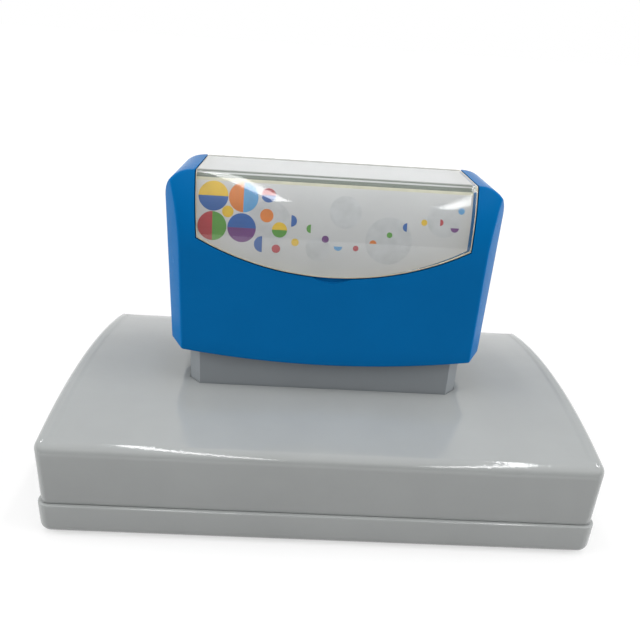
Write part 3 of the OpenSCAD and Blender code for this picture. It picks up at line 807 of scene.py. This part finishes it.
class GripForm:
    """The grip's side and front outlines, which the window and card follow."""

    def __init__(self, scene):
        g, w = scene.stamp_grip, scene.stamp_window
        self.half_w, self.half_d = GRIP_HIGH.x, GRIP_HIGH.y
        self.top, self.foot = GRIP_HIGH.z, GRIP_LOW.z
        self.front_r = (self.half_d - g.top_depth / 2) / (1 - math.cos(g.ridge_slope))
        self.front_z = self.top - self.front_r * math.sin(g.ridge_slope)
        self.foot_r = (self.half_w ** 2 + g.foot_sag ** 2) / (2 * g.foot_sag)
        self.taper, self.shoulder = g.taper, g.shoulder
        self.window_w = WINDOW_HIGH.x
        self.window_low = WINDOW_LOW.z
        self.window_lean = w.taper / (self.top - self.window_low - w.sag)
        self.window_r = ((self.window_w - w.taper) ** 2 + w.sag ** 2) / (2 * w.sag)

    def side_width(self, z):
        """Half-width at a height, with the taper and the rounded shoulder."""
        straight = self.half_w - self.taper * (self.top - z) / (self.top - self.foot)
        centre_z = self.top - self.shoulder
        if z <= centre_z:
            return straight
        centre_x = self.half_w - self.taper * self.shoulder / (self.top - self.foot) - self.shoulder
        return centre_x + math.sqrt(max(0.0, self.shoulder ** 2 - (z - centre_z) ** 2))

    def depth(self, z, inset=0.0):
        """Half-depth at a height, on a surface set in from the outside."""
        if z <= self.front_z:
            return self.half_d - inset
        r = self.front_r - inset
        return self.half_d - self.front_r + math.sqrt(max(0.0, r ** 2 - (z - self.front_z) ** 2))

    def foot_height(self, x):
        return self.foot + self.foot_r - math.sqrt(self.foot_r ** 2 - x ** 2)

    def window_half(self, z):
        """Half-width of the window at a height, between its leaning sides."""
        return self.window_w - self.window_lean * (self.top - z)

    def window_edge(self, side, grow):
        """Height of the window's lower edge at a share of its half-width, grown all round."""
        r = self.window_r + grow
        z = self.window_low
        for step in range(6):
            x = side * (self.window_half(z) + grow)
            z = self.window_low + self.window_r - math.sqrt(max(0.0, r ** 2 - x ** 2))
        return z

    def section(self, inset, low, ridge, front_rows, top_rows):
        """Depth and height along the front, over the ridge, to the middle of the flat top."""
        r, top = self.front_r - inset, self.top - inset
        turn = math.asin((top - self.front_z) / r)
        start = self.half_d - self.front_r
        ridge_y = start + r * math.cos(turn)
        drop = ridge / r
        upper = (start + r * math.cos(turn - drop), self.front_z + r * math.sin(turn - drop))
        points = []
        for k in range(front_rows + 1):
            z = low + (upper[1] - low) * k / front_rows
            points.append((self.depth(z, inset), z))
        inner = (ridge_y - ridge, top)
        for k in range(1, 6):
            t = k / 6
            points.append(tuple((1 - t) ** 2 * a + 2 * t * (1 - t) * b + t * t * c
                                for a, b, c in zip(upper, (ridge_y, top), inner)))
        for k in range(top_rows + 1):
            points.append((inner[0] * (1 - k / top_rows), top))
        return points


def saddle(form, layers, grow, ridge, side_grow=None, shift=0.0, columns=48, front_rows=22, top_rows=5):
    """A saddle-shaped shell, grown at its lower edge and its sides.

    Each layer gives a depth and how far its rim draws in. The first and last are full faces, marked 0,
    and the rim between them is marked 1."""
    widen = grow if side_grow is None else side_grow

    def point(column, row, inset, draw):
        side = 2 * column / columns - 1
        path = form.section(inset, form.window_edge(side, grow - draw), ridge, front_rows, top_rows)
        last = len(path) - 1
        y, z = path[row] if row <= last else path[2 * last - row]
        return Vector((side * (form.window_half(z) + widen - draw) + shift, -y if row <= last else y, z))

    rows = 2 * (front_rows + 6 + top_rows)
    rim = [(c, 0) for c in range(columns)] + [(columns, r) for r in range(rows)]
    rim += [(columns - c, rows) for c in range(columns)] + [(0, rows - r) for r in range(rows)]
    vertices, faces, loops = [], [], []
    for number, (inset, draw) in enumerate(layers):
        start = len(vertices)
        if number in (0, len(layers) - 1):
            for c in range(columns + 1):
                vertices += [point(c, r, inset, draw) for r in range(rows + 1)]
            loops.append([start + c * (rows + 1) + r for c, r in rim])
            for c in range(columns):
                for r in range(rows):
                    a = start + c * (rows + 1) + r
                    faces.append((a, a + rows + 1, a + rows + 2, a + 1))
        else:
            vertices += [point(c, r, inset, draw) for c, r in rim]
            loops.append(list(range(start, start + len(rim))))
    marks = [0] * len(faces)
    for first, second in zip(loops, loops[1:]):
        for i in range(len(rim)):
            j = (i + 1) % len(rim)
            faces.append((first[i], first[j], second[j], second[i]))
            marks.append(1)
    return vertices, faces, marks


class STAMP_OT_grip(Operator):
    """Blue grip: tapered sides, chamfered corners, rounded shoulders and the window's seat"""
    bl_idname = "stamp.grip"
    bl_label = "Grip"

    def execute(self, context):
        g, w = context.scene.stamp_grip, context.scene.stamp_window
        form = GripForm(context.scene)
        slant = math.hypot(g.chamfer_w, g.chamfer_d)
        nx, ny = g.chamfer_d / slant, g.chamfer_w / slant
        limit = nx * form.half_w + ny * (form.half_d - g.chamfer_d)
        lean = math.atan2(ny, nx)
        steps = CORNER_STEPS // 2

        def outline(z, inset, soft):
            """The plan at one height, its corners softened."""
            soft = max(soft - inset, 0.2 * MM)
            half_w = form.side_width(z) - inset - soft
            half_d = form.depth(z) - inset - soft
            c = limit - inset - soft
            end = [half_w, (c - nx * half_w) / ny]
            side = [(c - ny * half_d) / nx, half_d]
            if side[0] >= half_w:
                end = [half_w, half_d]
                side = [half_w, half_d]
            corner = []
            for (cx, cy), start, stop in ((end, 0.0, lean), (side, lean, 0.5 * math.pi)):
                for i in range(steps + 1):
                    turn = start + (stop - start) * i / steps
                    a, b = math.cos(turn), math.sin(turn)
                    corner.append((cx + soft * a, cy + soft * b, a, b))
            return loop(corner, 44, 8)

        heights = {form.foot + 12 * MM, form.foot + 18 * MM, form.front_z - 3 * MM, form.front_z}
        for k in range(1, 21):
            heights.add(form.front_z + form.front_r * math.sin(g.ridge_slope * k / 20))
        for turn in quarter(16):
            heights.add(form.top - form.shoulder * (1 - math.sin(turn)))
        heights = sorted(heights)
        kept = [heights[0]]
        for z in heights[1:]:
            if z - kept[-1] > 0.01 * MM:
                kept.append(z)
        kept[-1] = form.top

        def foot_ring(inset, lift):
            ring = outline(form.foot + 3 * MM, inset, g.softening)
            return [Vector((x, y, form.foot_height(x) + lift)) for x, y, a, b in ring]

        rings = []
        inside = outline(form.foot + 6 * MM, g.wall, g.softening)
        rings.append(level(inside, STEM_HIGH.z + 0.4 * MM))
        rings.append(foot_ring(g.wall, 0.3 * MM))
        rings.append(foot_ring(g.wall - 0.3 * MM, 0.0))
        edge = 0.45 * MM
        for turn in quarter(4):
            rings.append(foot_ring(edge * (1 - math.sin(turn)), edge * (1 - math.cos(turn))))
        base = rings[-1]
        upper = level(outline(kept[0], 0.0, g.softening), kept[0])
        for t in (0.3, 0.65):
            rings.append([a.lerp(b, t) for a, b in zip(base, upper)])
        for z in kept:
            rings.append(level(outline(z, 0.0, g.softening), z))
        mesh = new_mesh("grip_body", *loft(rings, first_cap=True, last_cap=True))
        seat = saddle(form, [(-2.0 * MM, 0.0), (w.recess, 0.0)], w.gap, 0.05 * MM)
        cutters = [new_mesh("grip_seat_cut", *seat[:2])]
        notch_r = (w.notch_width ** 2 / 4 + w.notch_drop ** 2) / (2 * w.notch_drop)
        notch_z = form.window_low - w.gap - w.notch_drop + notch_r
        soft = 0.2 * MM
        for side in (-1, 1):
            rings = []
            for y, r in ((w.notch_depth, notch_r - soft), (w.notch_depth - soft, notch_r),
                         (-1.5 * MM, notch_r)):
                rings.append([Vector((r * math.cos(a), side * (form.half_d - y), notch_z + r * math.sin(a)))
                              for a in around(96)])
            cutters.append(new_mesh("grip_notch_cut", *loft(rings, first_cap=True, last_cap=True)))
        result = cut_away(mesh, cutters)
        new_piece("grip_body", result, "plunger", finish("grip_blue_plastic"), ["grip_shell"])
        return {"FINISHED"}


class STAMP_OT_window(Operator):
    """Clear window that clips over the grip's top and front"""
    bl_idname = "stamp.window"
    bl_label = "Index window"

    def execute(self, context):
        w = context.scene.stamp_window
        form = GripForm(context.scene)
        soft = 0.22 * MM
        # The inner face dips just into the card: a thin air gap there would show as a dark band
        dip = 0.01 * MM
        under = max(w.thickness, w.card_inset) + dip
        layers = [(0.0, soft), (0.3 * soft, 0.3 * soft), (soft, 0.0),
                  (under - soft / 2, 0.0), (under, soft / 2)]
        mesh = new_mesh("index_window_shell", *saddle(form, layers, 0.0, 0.5 * MM))
        new_piece("index_window_shell", mesh, "window", finish("clear_window_plastic"),
                  ["index_window"], crease=50.0)
        # The rim faces take the opaque cream edge finish, a painted highlight
        mesh.materials.append(finish("clear_window_edge"))
        return {"FINISHED"}


# Inks of the card's print; the last two are not print but painted shade and a painted highlight along the
# window's ridge
INKS_AND_RIDGE_PAINT = {
    "blue": (0.010, 0.08, 0.30),
    "light_blue": (0.08, 0.27, 0.52),
    "green": (0.07, 0.24, 0.028),
    "yellow": (0.64, 0.41, 0.02),
    "orange": (0.57, 0.16, 0.02),
    "red": (0.34, 0.024, 0.036),
    "violet": (0.12, 0.028, 0.16),
    "pale_grey": (0.46, 0.465, 0.49),
    "ridge_painted_shade": (0.10, 0.12, 0.10),
    "ridge_painted_highlight": (0.52, 0.50, 0.39),
}

# Discs and half-discs of the card's design: ink, place across, place down, radius, all in millimetres,
# and the turn in degrees that the half of a disc starts from
DISCS = (
    ("pale_grey", -14.0, 9.0, 4.6, None), ("pale_grey", 2.0, 6.0, 3.4, None),
    ("pale_grey", 11.5, 11.5, 5.0, None), ("pale_grey", 23.0, 6.5, 3.6, None),
    ("pale_grey", -3.5, 14.0, 2.6, None),
    ("blue", -25.9, 4.1, 3.1, 0), ("yellow", -25.9, 4.1, 3.1, 180), ("orange", -19.6, 4.1, 3.1, 90),
    ("light_blue", -19.6, 4.1, 3.1, 270), ("red", -26.0, 10.3, 3.0, 90), ("green", -26.0, 10.3, 3.0, 270),
    ("violet", -19.8, 10.4, 3.0, 0), ("blue", -19.8, 10.4, 3.0, 180), ("yellow", -22.8, 7.2, 1.2, None),
    ("blue", -15.4, 13.6, 1.7, 90), ("red", -14.4, 3.4, 1.5, 180), ("blue", -14.4, 3.4, 1.5, 0),
    ("orange", -14.6, 7.6, 1.4, None), ("green", -11.8, 10.4, 1.6, 0), ("yellow", -11.8, 10.4, 1.6, 180),
    ("red", -12.4, 14.4, 0.9, None), ("blue", -9.4, 8.4, 1.2, 270), ("yellow", -8.4, 12.8, 0.8, None),
    ("green", -5.2, 9.8, 0.9, 90), ("violet", -2.0, 11.8, 0.75, None), ("light_blue", 0.8, 13.2, 0.9, 0),
    ("red", 4.6, 13.4, 0.6, None), ("orange", 8.2, 12.2, 0.75, 180), ("green", 11.6, 10.2, 0.6, None),
    ("blue", 15.2, 8.4, 0.9, 90), ("yellow", 18.8, 7.2, 0.65, None), ("red", 22.2, 7.0, 0.7, 270),
    ("violet", 25.4, 8.0, 0.9, 0), ("light_blue", 26.6, 4.4, 0.7, None),
)

# Painted shade and a painted highlight along the ridge, standing in for the light bent by the window's bend:
# ink, and where each starts and ends below the ridge in millimetres
RIDGE_PAINTED_LINES = (("ridge_painted_shade", -1.7, 0.3), ("ridge_painted_highlight", 0.3, 0.95))


class STAMP_OT_card(Operator):
    """White index card with a plain printed design of discs, and painted shade and painted highlight lines
    along the ridge
    """
    bl_idname = "stamp.card"
    bl_label = "Index card"

    def execute(self, context):
        w = context.scene.stamp_window
        form = GripForm(context.scene)
        layers = [(w.card_inset, 0.0), (w.card_inset + w.card_thickness, 0.0)]
        sheet = saddle(form, layers, -0.05 * MM, 0.2 * MM, -w.card_edge, -w.card_shift)
        paper = finish("index_card_paper")
        mesh = new_mesh("index_card_sheet", *sheet[:2])
        new_piece("index_card_sheet", mesh, "plunger", paper, ["index_card"], crease=50.0)
        order = list(INKS_AND_RIDGE_PAINT)
        tone_inset, ink_inset = w.card_inset - 0.012 * MM, w.card_inset - 0.024 * MM
        vertices, faces, inks = [], [], []
        for ink, across, down, radius, opening in DISCS:
            inset = tone_inset if ink == "pale_grey" else ink_inset
            for strip in strips(disc_outline(across * MM, down * MM, radius * MM, opening), 0.5 * MM):
                start = len(vertices)
                vertices += [self.on_front(form, inset, x, u) for x, u in strip]
                faces.append(tuple(range(start, start + len(strip))))
                inks.append(order.index(ink))
        half_w = CARD_HIGH.x - 0.1 * MM
        # Painted shade and a painted highlight laid on the card along the ridge, in place of the light bent
        # by the window's bend
        for ink, upper, lower in RIDGE_PAINTED_LINES:
            start = len(vertices)
            for u in (upper, max(upper, 0.0), lower):
                vertices += [self.on_front(form, ink_inset, x - w.card_shift, u * MM)
                             for x in (-half_w, half_w)]
            for row in (start, start + 2):
                faces.append((row, row + 1, row + 3, row + 2))
                inks.append(order.index(ink))
        mesh = bpy.data.meshes.new("index_card_print")
        mesh.from_pydata([tuple(v) for v in vertices], [], faces)
        made = [ink_and_ridge_paint("card_ink_" + ink, INKS_AND_RIDGE_PAINT[ink]) for ink in order]
        new_piece("index_card_print", mesh, "plunger", made[0])
        for material in made[1:]:
            mesh.materials.append(material)
        mesh.polygons.foreach_set("material_index", inks)
        return {"FINISHED"}

    @staticmethod
    def on_front(form, inset, x, u):
        """A point on the card, at a distance down from the ridge, or back from it on the flat top."""
        r, top = form.front_r - inset, form.top - inset
        turn = math.asin((top - form.front_z) / r) - max(u, 0.0) / r
        y = form.half_d - form.front_r + r * math.cos(turn)
        if u < 0:
            return Vector((x, -y - u, top))
        if turn >= 0:
            return Vector((x, -y, form.front_z + r * math.sin(turn)))
        return Vector((x, -(form.half_d - inset), form.front_z + r * turn))


def disc_outline(x, u, radius, opening):
    """A disc, or the half of one that faces a given way."""
    if opening is None:
        turns = around(40)
    else:
        turns = [math.radians(opening) + math.pi * i / 24 for i in range(25)]
    return [(x + radius * math.cos(a), u + radius * math.sin(a)) for a in turns]


def strips(outline, width):
    """A convex outline cut into level strips, so that it can follow a curved face."""
    def clip(points, bound, keep_above):
        kept = []
        for a, b in zip(points, points[1:] + points[:1]):
            inside_a = a[1] >= bound if keep_above else a[1] <= bound
            inside_b = b[1] >= bound if keep_above else b[1] <= bound
            if inside_a:
                kept.append(a)
            if inside_a != inside_b:
                t = (bound - a[1]) / (b[1] - a[1])
                kept.append((a[0] + (b[0] - a[0]) * t, bound))
        return kept

    low = min(p[1] for p in outline)
    high = max(p[1] for p in outline)
    count = max(1, math.ceil((high - low) / width))
    found = []
    for k in range(count):
        lower, upper = (low + (high - low) * step / count for step in (k, k + 1))
        piece = clip(clip(outline, lower, True), upper, False)
        if len(piece) > 2:
            found.append(piece)
    return found


# Springs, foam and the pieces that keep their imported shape

class STAMP_OT_springs(Operator):
    """Two return springs of round wire"""
    bl_idname = "stamp.springs"
    bl_label = "Return springs"

    def execute(self, context):
        s = context.scene.stamp_inside
        rest = SPRING_HIGH.z - SPRING_LOW.z
        rise = rest - s.wire
        coil = (SPRING_HIGH.x - SPRING_LOW.x) / 2 - s.wire / 2
        close = s.wire + 0.5 * MM
        pitch = (rise - 2 * close) / (s.turns - 2)

        def height(t):
            if t < 1:
                return t * close
            if t > s.turns - 1:
                return rise - (s.turns - t) * close
            return close + (t - 1) * pitch

        sides, rings_per_turn = 12, 36
        for node in ("return_spring_left", "return_spring_right"):
            low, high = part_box(node)
            centre = (low + high) / 2
            rings = []
            for i in range(s.turns * rings_per_turn + 1):
                t = i / rings_per_turn
                swing = 2 * math.pi * t
                ring = []
                for a in around(sides):
                    out = coil + s.wire / 2 * math.cos(a)
                    ring.append(Vector((centre.x + out * math.cos(swing), centre.y + out * math.sin(swing),
                                        low.z + s.wire / 2 + height(t) + s.wire / 2 * math.sin(a))))
                rings.append(ring)
            mesh = new_mesh(node + "_coil", *loft(rings, first_cap=True, last_cap=True))
            piece = new_piece(node + "_coil", mesh, "housing", finish("spring_steel"), [node])
            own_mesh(piece)
        return {"FINISHED"}


class STAMP_OT_foam(Operator):
    """Stamping foam with its raised face and sunk border, and the ink reservoir behind it"""
    bl_idname = "stamp.foam"
    bl_label = "Foam and reservoir"

    def execute(self, context):
        s = context.scene.stamp_inside
        half_w, half_d = FOAM_HIGH.x, FOAM_HIGH.y
        low, high = FOAM_LOW.z, FOAM_HIGH.z
        step = low + s.face_height
        corner_r, bow = 1 * MM, 0.15 * MM

        def ring(inset, z, sink=0.0):
            """A level outline whose sides draw in between the corners."""
            drawn = []
            corner = rounded_corner(half_w - inset, half_d - inset, corner_r, corner_r)
            for x, y, nx, ny in loop(corner, LONG_POINTS, END_POINTS):
                along = x / half_w if abs(ny) > 0.5 else y / half_d
                pull = sink * (1 - along ** 2)
                drawn.append(Vector((x - nx * pull, y - ny * pull, z)))
            return drawn

        m = s.face_margin
        soft = 0.35 * MM
        # Inset in millimetres, and height: round the clamped base, then the raised face with its sunk border
        base = [(14, high), (0.35, high), (0.1, high - 0.1 * MM), (0, high - soft), (0, step + soft),
                (0.1, step + 0.1 * MM), (0.35, step)]
        face = [(0.1, step), (0, step - 0.1 * MM), (0, low + 0.5 * MM), (0.15, low + 0.15 * MM),
                (0.5, low), (3.0, low), (3.1, low + 0.1 * MM), (3.12, low + 0.4 * MM),
                (3.68, low + 0.4 * MM), (3.7, low + 0.1 * MM), (3.8, low), (8, low), (16, low + 0.02 * MM)]
        profile = [(inset * MM, z) for inset, z in base] + [(m + inset * MM, z) for inset, z in face]
        rings = [ring(inset, z) for inset, z in profile]
        mesh = new_mesh("stamp_foam_pad", *loft(rings, first_cap=True, last_cap=True))
        foam = finish("stamping_foam")
        pad = new_piece("stamp_foam_pad", mesh, "plunger", foam, ["stamp_foam"])
        half_w, half_d = RESERVOIR_HIGH.x, RESERVOIR_HIGH.y
        low, high = RESERVOIR_LOW.z, RESERVOIR_HIGH.z
        side = [(16, 0.0), (0.5, 0.0), (0.2, 0.15), (0.05, 0.5)]
        profile = [(inset * MM, low + lift * MM) for inset, lift in side] + [(0.0, (low + high) / 2)]
        profile += [(inset * MM, high - lift * MM) for inset, lift in reversed(side)]
        rings = [ring(inset, z, bow) for inset, z in profile]
        mesh = new_mesh("ink_reservoir_pad", *loft(rings, first_cap=True, last_cap=True))
        sponge = finish("reservoir_sponge")
        pad = new_piece("ink_reservoir_pad", mesh, "plunger", sponge, ["ink_reservoir"])
        return {"FINISHED"}


class STAMP_OT_packed_pieces(Operator):
    """Finishes of the stem, plate, frame and screws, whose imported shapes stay"""
    bl_idname = "stamp.packed_pieces"
    bl_label = "Stem, plate, frame and screws"

    def execute(self, context):
        finishes = {
            "stem": "stem_grey_plastic",
            "pressure_plate": "plate_dark_plastic",
            "foam_frame": "plate_dark_plastic",
            "grip_screws": "screw_steel",
            "plate_screws": "screw_steel",
        }
        for node, name in finishes.items():
            piece = frame["nodes"][node]
            piece.data.materials.clear()
            piece.data.materials.append(finish(name))
        return {"FINISHED"}


# Stage

# Lamps, in metres and watts: name, one end, other end, width, power
LAMPS = (
    ("lamp_left", (-0.95, -0.45, 0.35), (-0.95, 0.15, 0.35), 0.6, 6.2),
    ("lamp_right", (0.95, -0.45, 0.35), (0.95, 0.15, 0.35), 0.6, 6.2),
    ("tube_left", (-0.30, 0.30, 1.05), (-0.07, -1.70, 1.05), 0.05, 4.2),
    ("tube_right", (0.40, 0.30, 1.05), (0.43, -1.60, 1.05), 0.05, 4.2),
)
LAMP_AIM = Vector((0, 0, 0.04))
CAMERA_PLACE = Vector((-7.257, -145.34, 102.54)) * MM
CAMERA_PITCH, CAMERA_YAW, CAMERA_ROLL = math.radians(23.859), math.radians(2.289), math.radians(3.892)


class STAMP_OT_stage(Operator):
    """Pale floor, soft studio light and the camera"""
    bl_idname = "stamp.stage"
    bl_label = "Stage"

    def execute(self, context):
        s = context.scene.stamp_stage
        context.scene.view_settings.view_transform = "Standard"
        self.floor(s)
        self.world(context.scene, s)
        self.lamps()
        self.camera(context.scene, s)
        return {"FINISHED"}

    def floor(self, s):
        mesh = bpy.data.meshes.new("floor")
        reach, z = 6.0, -0.2 * MM
        corners = [(-reach, -reach, z), (reach, -reach, z), (reach, reach, z), (-reach, reach, z)]
        mesh.from_pydata(corners, [], [(0, 1, 2, 3)])
        f = Finish("floor_paper")
        f.feed("Base Color", f.graded(f.noise(30.0, 3.0), tuple(s.floor), 0.995, 1.005))
        f.set(Roughness=0.9, Specular_IOR_Level=0.1)
        glow = f.add("ShaderNodeEmission")
        both = f.add("ShaderNodeAddShader")
        away = f.add("ShaderNodeVectorMath", operation="LENGTH")
        f.link(f.place, away.inputs[0])
        paler = f.spread(away.outputs["Value"], 0.2, 0.9, 0.57, 1.0)
        f.link(f.sum(f.backdrop_rays(), paler, "MULTIPLY"), glow.inputs["Strength"])
        f.link(f.shader.outputs["BSDF"], both.inputs[0])
        f.link(glow.outputs["Emission"], both.inputs[1])
        f.link(both.outputs["Shader"], f.output.inputs["Surface"])
        mesh.materials.append(f.material)
        floor = bpy.data.objects.new("floor", mesh)
        bpy.context.scene.collection.objects.link(floor)

    def world(self, scene, s):
        """A soft room with a dark low front.

        The camera sees it white, also through glass, and gloss shows all but the dark part white."""
        world = bpy.data.worlds.new("studio")
        scene.world = world
        world.use_nodes = True
        world.node_tree.nodes.clear()
        n = Nodes(world.node_tree, "Generated")
        split = n.add("ShaderNodeSeparateXYZ")
        n.link(n.place, split.inputs["Vector"])
        behind = n.spread(split.outputs["Y"], -0.5, -0.1, 0.0, 1.0)
        above = n.spread(split.outputs["Z"], 0.4, 0.7, 0.0, 1.0)
        light = n.sum(behind, above, "MAXIMUM")
        room = n.add("ShaderNodeBackground")
        n.link(n.spread(light, 0.0, 1.0, s.front, s.ambient), room.inputs["Strength"])
        white = n.add("ShaderNodeBackground")
        path = n.add("ShaderNodeLightPath").outputs
        seen = n.sum(path["Is Camera Ray"], path["Is Transmission Ray"], "MAXIMUM")
        n.link(n.sum(seen, n.spread(light, 0.0, 1.0, s.front, 1.0), "MAXIMUM"), white.inputs["Strength"])
        for background in (room, white):
            background.inputs["Color"].default_value = (1.0, 1.0, 1.0, 1.0)
        choose = n.add("ShaderNodeMixShader")
        n.link(n.backdrop_rays(), choose.inputs["Fac"])
        n.link(room.outputs["Background"], choose.inputs[1])
        n.link(white.outputs["Background"], choose.inputs[2])
        n.link(choose.outputs["Shader"], n.add("ShaderNodeOutputWorld").inputs["Surface"])

    def lamps(self):
        for name, first, last, width, power in LAMPS:
            first, last = Vector(first), Vector(last)
            middle = (first + last) / 2
            data = bpy.data.lights.new(name, "AREA")
            data.shape = "RECTANGLE"
            data.size, data.size_y = (last - first).length, width
            data.energy = power
            lamp = bpy.data.objects.new(name, data)
            side = (last - first).normalized()
            back = middle - LAMP_AIM
            back = (back - side * side.dot(back)).normalized()
            matrix = Matrix((side, back.cross(side), back)).transposed().to_4x4()
            matrix.translation = middle
            lamp.matrix_world = matrix
            lamp.visible_camera = False
            lamp.visible_glossy = name.startswith("tube")
            bpy.context.scene.collection.objects.link(lamp)

    def camera(self, scene, s):
        pitch, yaw, roll = CAMERA_PITCH, CAMERA_YAW, CAMERA_ROLL
        ahead = Vector((math.sin(yaw) * math.cos(pitch), math.cos(yaw) * math.cos(pitch), -math.sin(pitch)))
        right = Vector((math.cos(yaw), -math.sin(yaw), 0.0))
        down = ahead.cross(right)
        across = math.cos(roll) * right - math.sin(roll) * down
        below = math.sin(roll) * right + math.cos(roll) * down
        data = bpy.data.cameras.new("photo_camera")
        data.lens = s.lens
        data.sensor_width = 36.0
        data.sensor_fit = "HORIZONTAL"
        data.clip_start = 0.01
        data.dof.use_dof = False
        camera = bpy.data.objects.new("photo_camera", data)
        matrix = Matrix((across, -below, -ahead)).transposed().to_4x4()
        matrix.translation = CAMERA_PLACE
        camera.matrix_world = matrix
        scene.collection.objects.link(camera)
        scene.camera = camera


OPERATORS = (
    STAMP_OT_housing, STAMP_OT_housing_inside, STAMP_OT_dust_cap, STAMP_OT_grip, STAMP_OT_card,
    STAMP_OT_window, STAMP_OT_springs, STAMP_OT_foam, STAMP_OT_packed_pieces, STAMP_OT_stage,
)
SETTINGS = {
    "stamp_housing": StampHousingSettings,
    "stamp_cap": StampCapSettings,
    "stamp_grip": StampGripSettings,
    "stamp_window": StampWindowSettings,
    "stamp_inside": StampInsideSettings,
    "stamp_finish": StampFinishSettings,
    "stamp_stage": StampStageSettings,
}


class STAMP_PT_panel(Panel):
    """Lists the sizes, colours and pieces of the stamp"""
    bl_label = "Pre-inked stamp"
    bl_idname = "STAMP_PT_panel"
    bl_space_type = "VIEW_3D"
    bl_region_type = "UI"
    bl_category = "Stamp"

    def draw(self, context):
        for name, group in SETTINGS.items():
            box = self.layout.box()
            box.label(text=name.replace("_", " ").capitalize())
            for prop in group.__annotations__:
                box.prop(getattr(context.scene, name), prop)
        for operator in OPERATORS:
            self.layout.operator(operator.bl_idname)


def register():
    for group in SETTINGS.values():
        bpy.utils.register_class(group)
    for name, group in SETTINGS.items():
        setattr(bpy.types.Scene, name, PointerProperty(type=group))
    for operator in OPERATORS:
        bpy.utils.register_class(operator)
    bpy.utils.register_class(STAMP_PT_panel)


def unregister():
    bpy.utils.unregister_class(STAMP_PT_panel)
    for operator in reversed(OPERATORS):
        bpy.utils.unregister_class(operator)
    for name in SETTINGS:
        delattr(bpy.types.Scene, name)
    for group in reversed(list(SETTINGS.values())):
        bpy.utils.unregister_class(group)


def main():
    """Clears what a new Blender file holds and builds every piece."""
    framed = set(frame["nodes"].values()) | set(frame["bodies"].values())
    for obj in [o for o in bpy.data.objects if o not in framed]:
        bpy.data.objects.remove(obj)
    register()
    bpy.ops.stamp.stage()
    bpy.ops.stamp.housing()
    bpy.ops.stamp.housing_inside()
    bpy.ops.stamp.dust_cap()
    bpy.ops.stamp.grip()
    bpy.ops.stamp.card()
    bpy.ops.stamp.window()
    bpy.ops.stamp.springs()
    bpy.ops.stamp.foam()
    bpy.ops.stamp.packed_pieces()


if __name__ == "__main__":
    main()
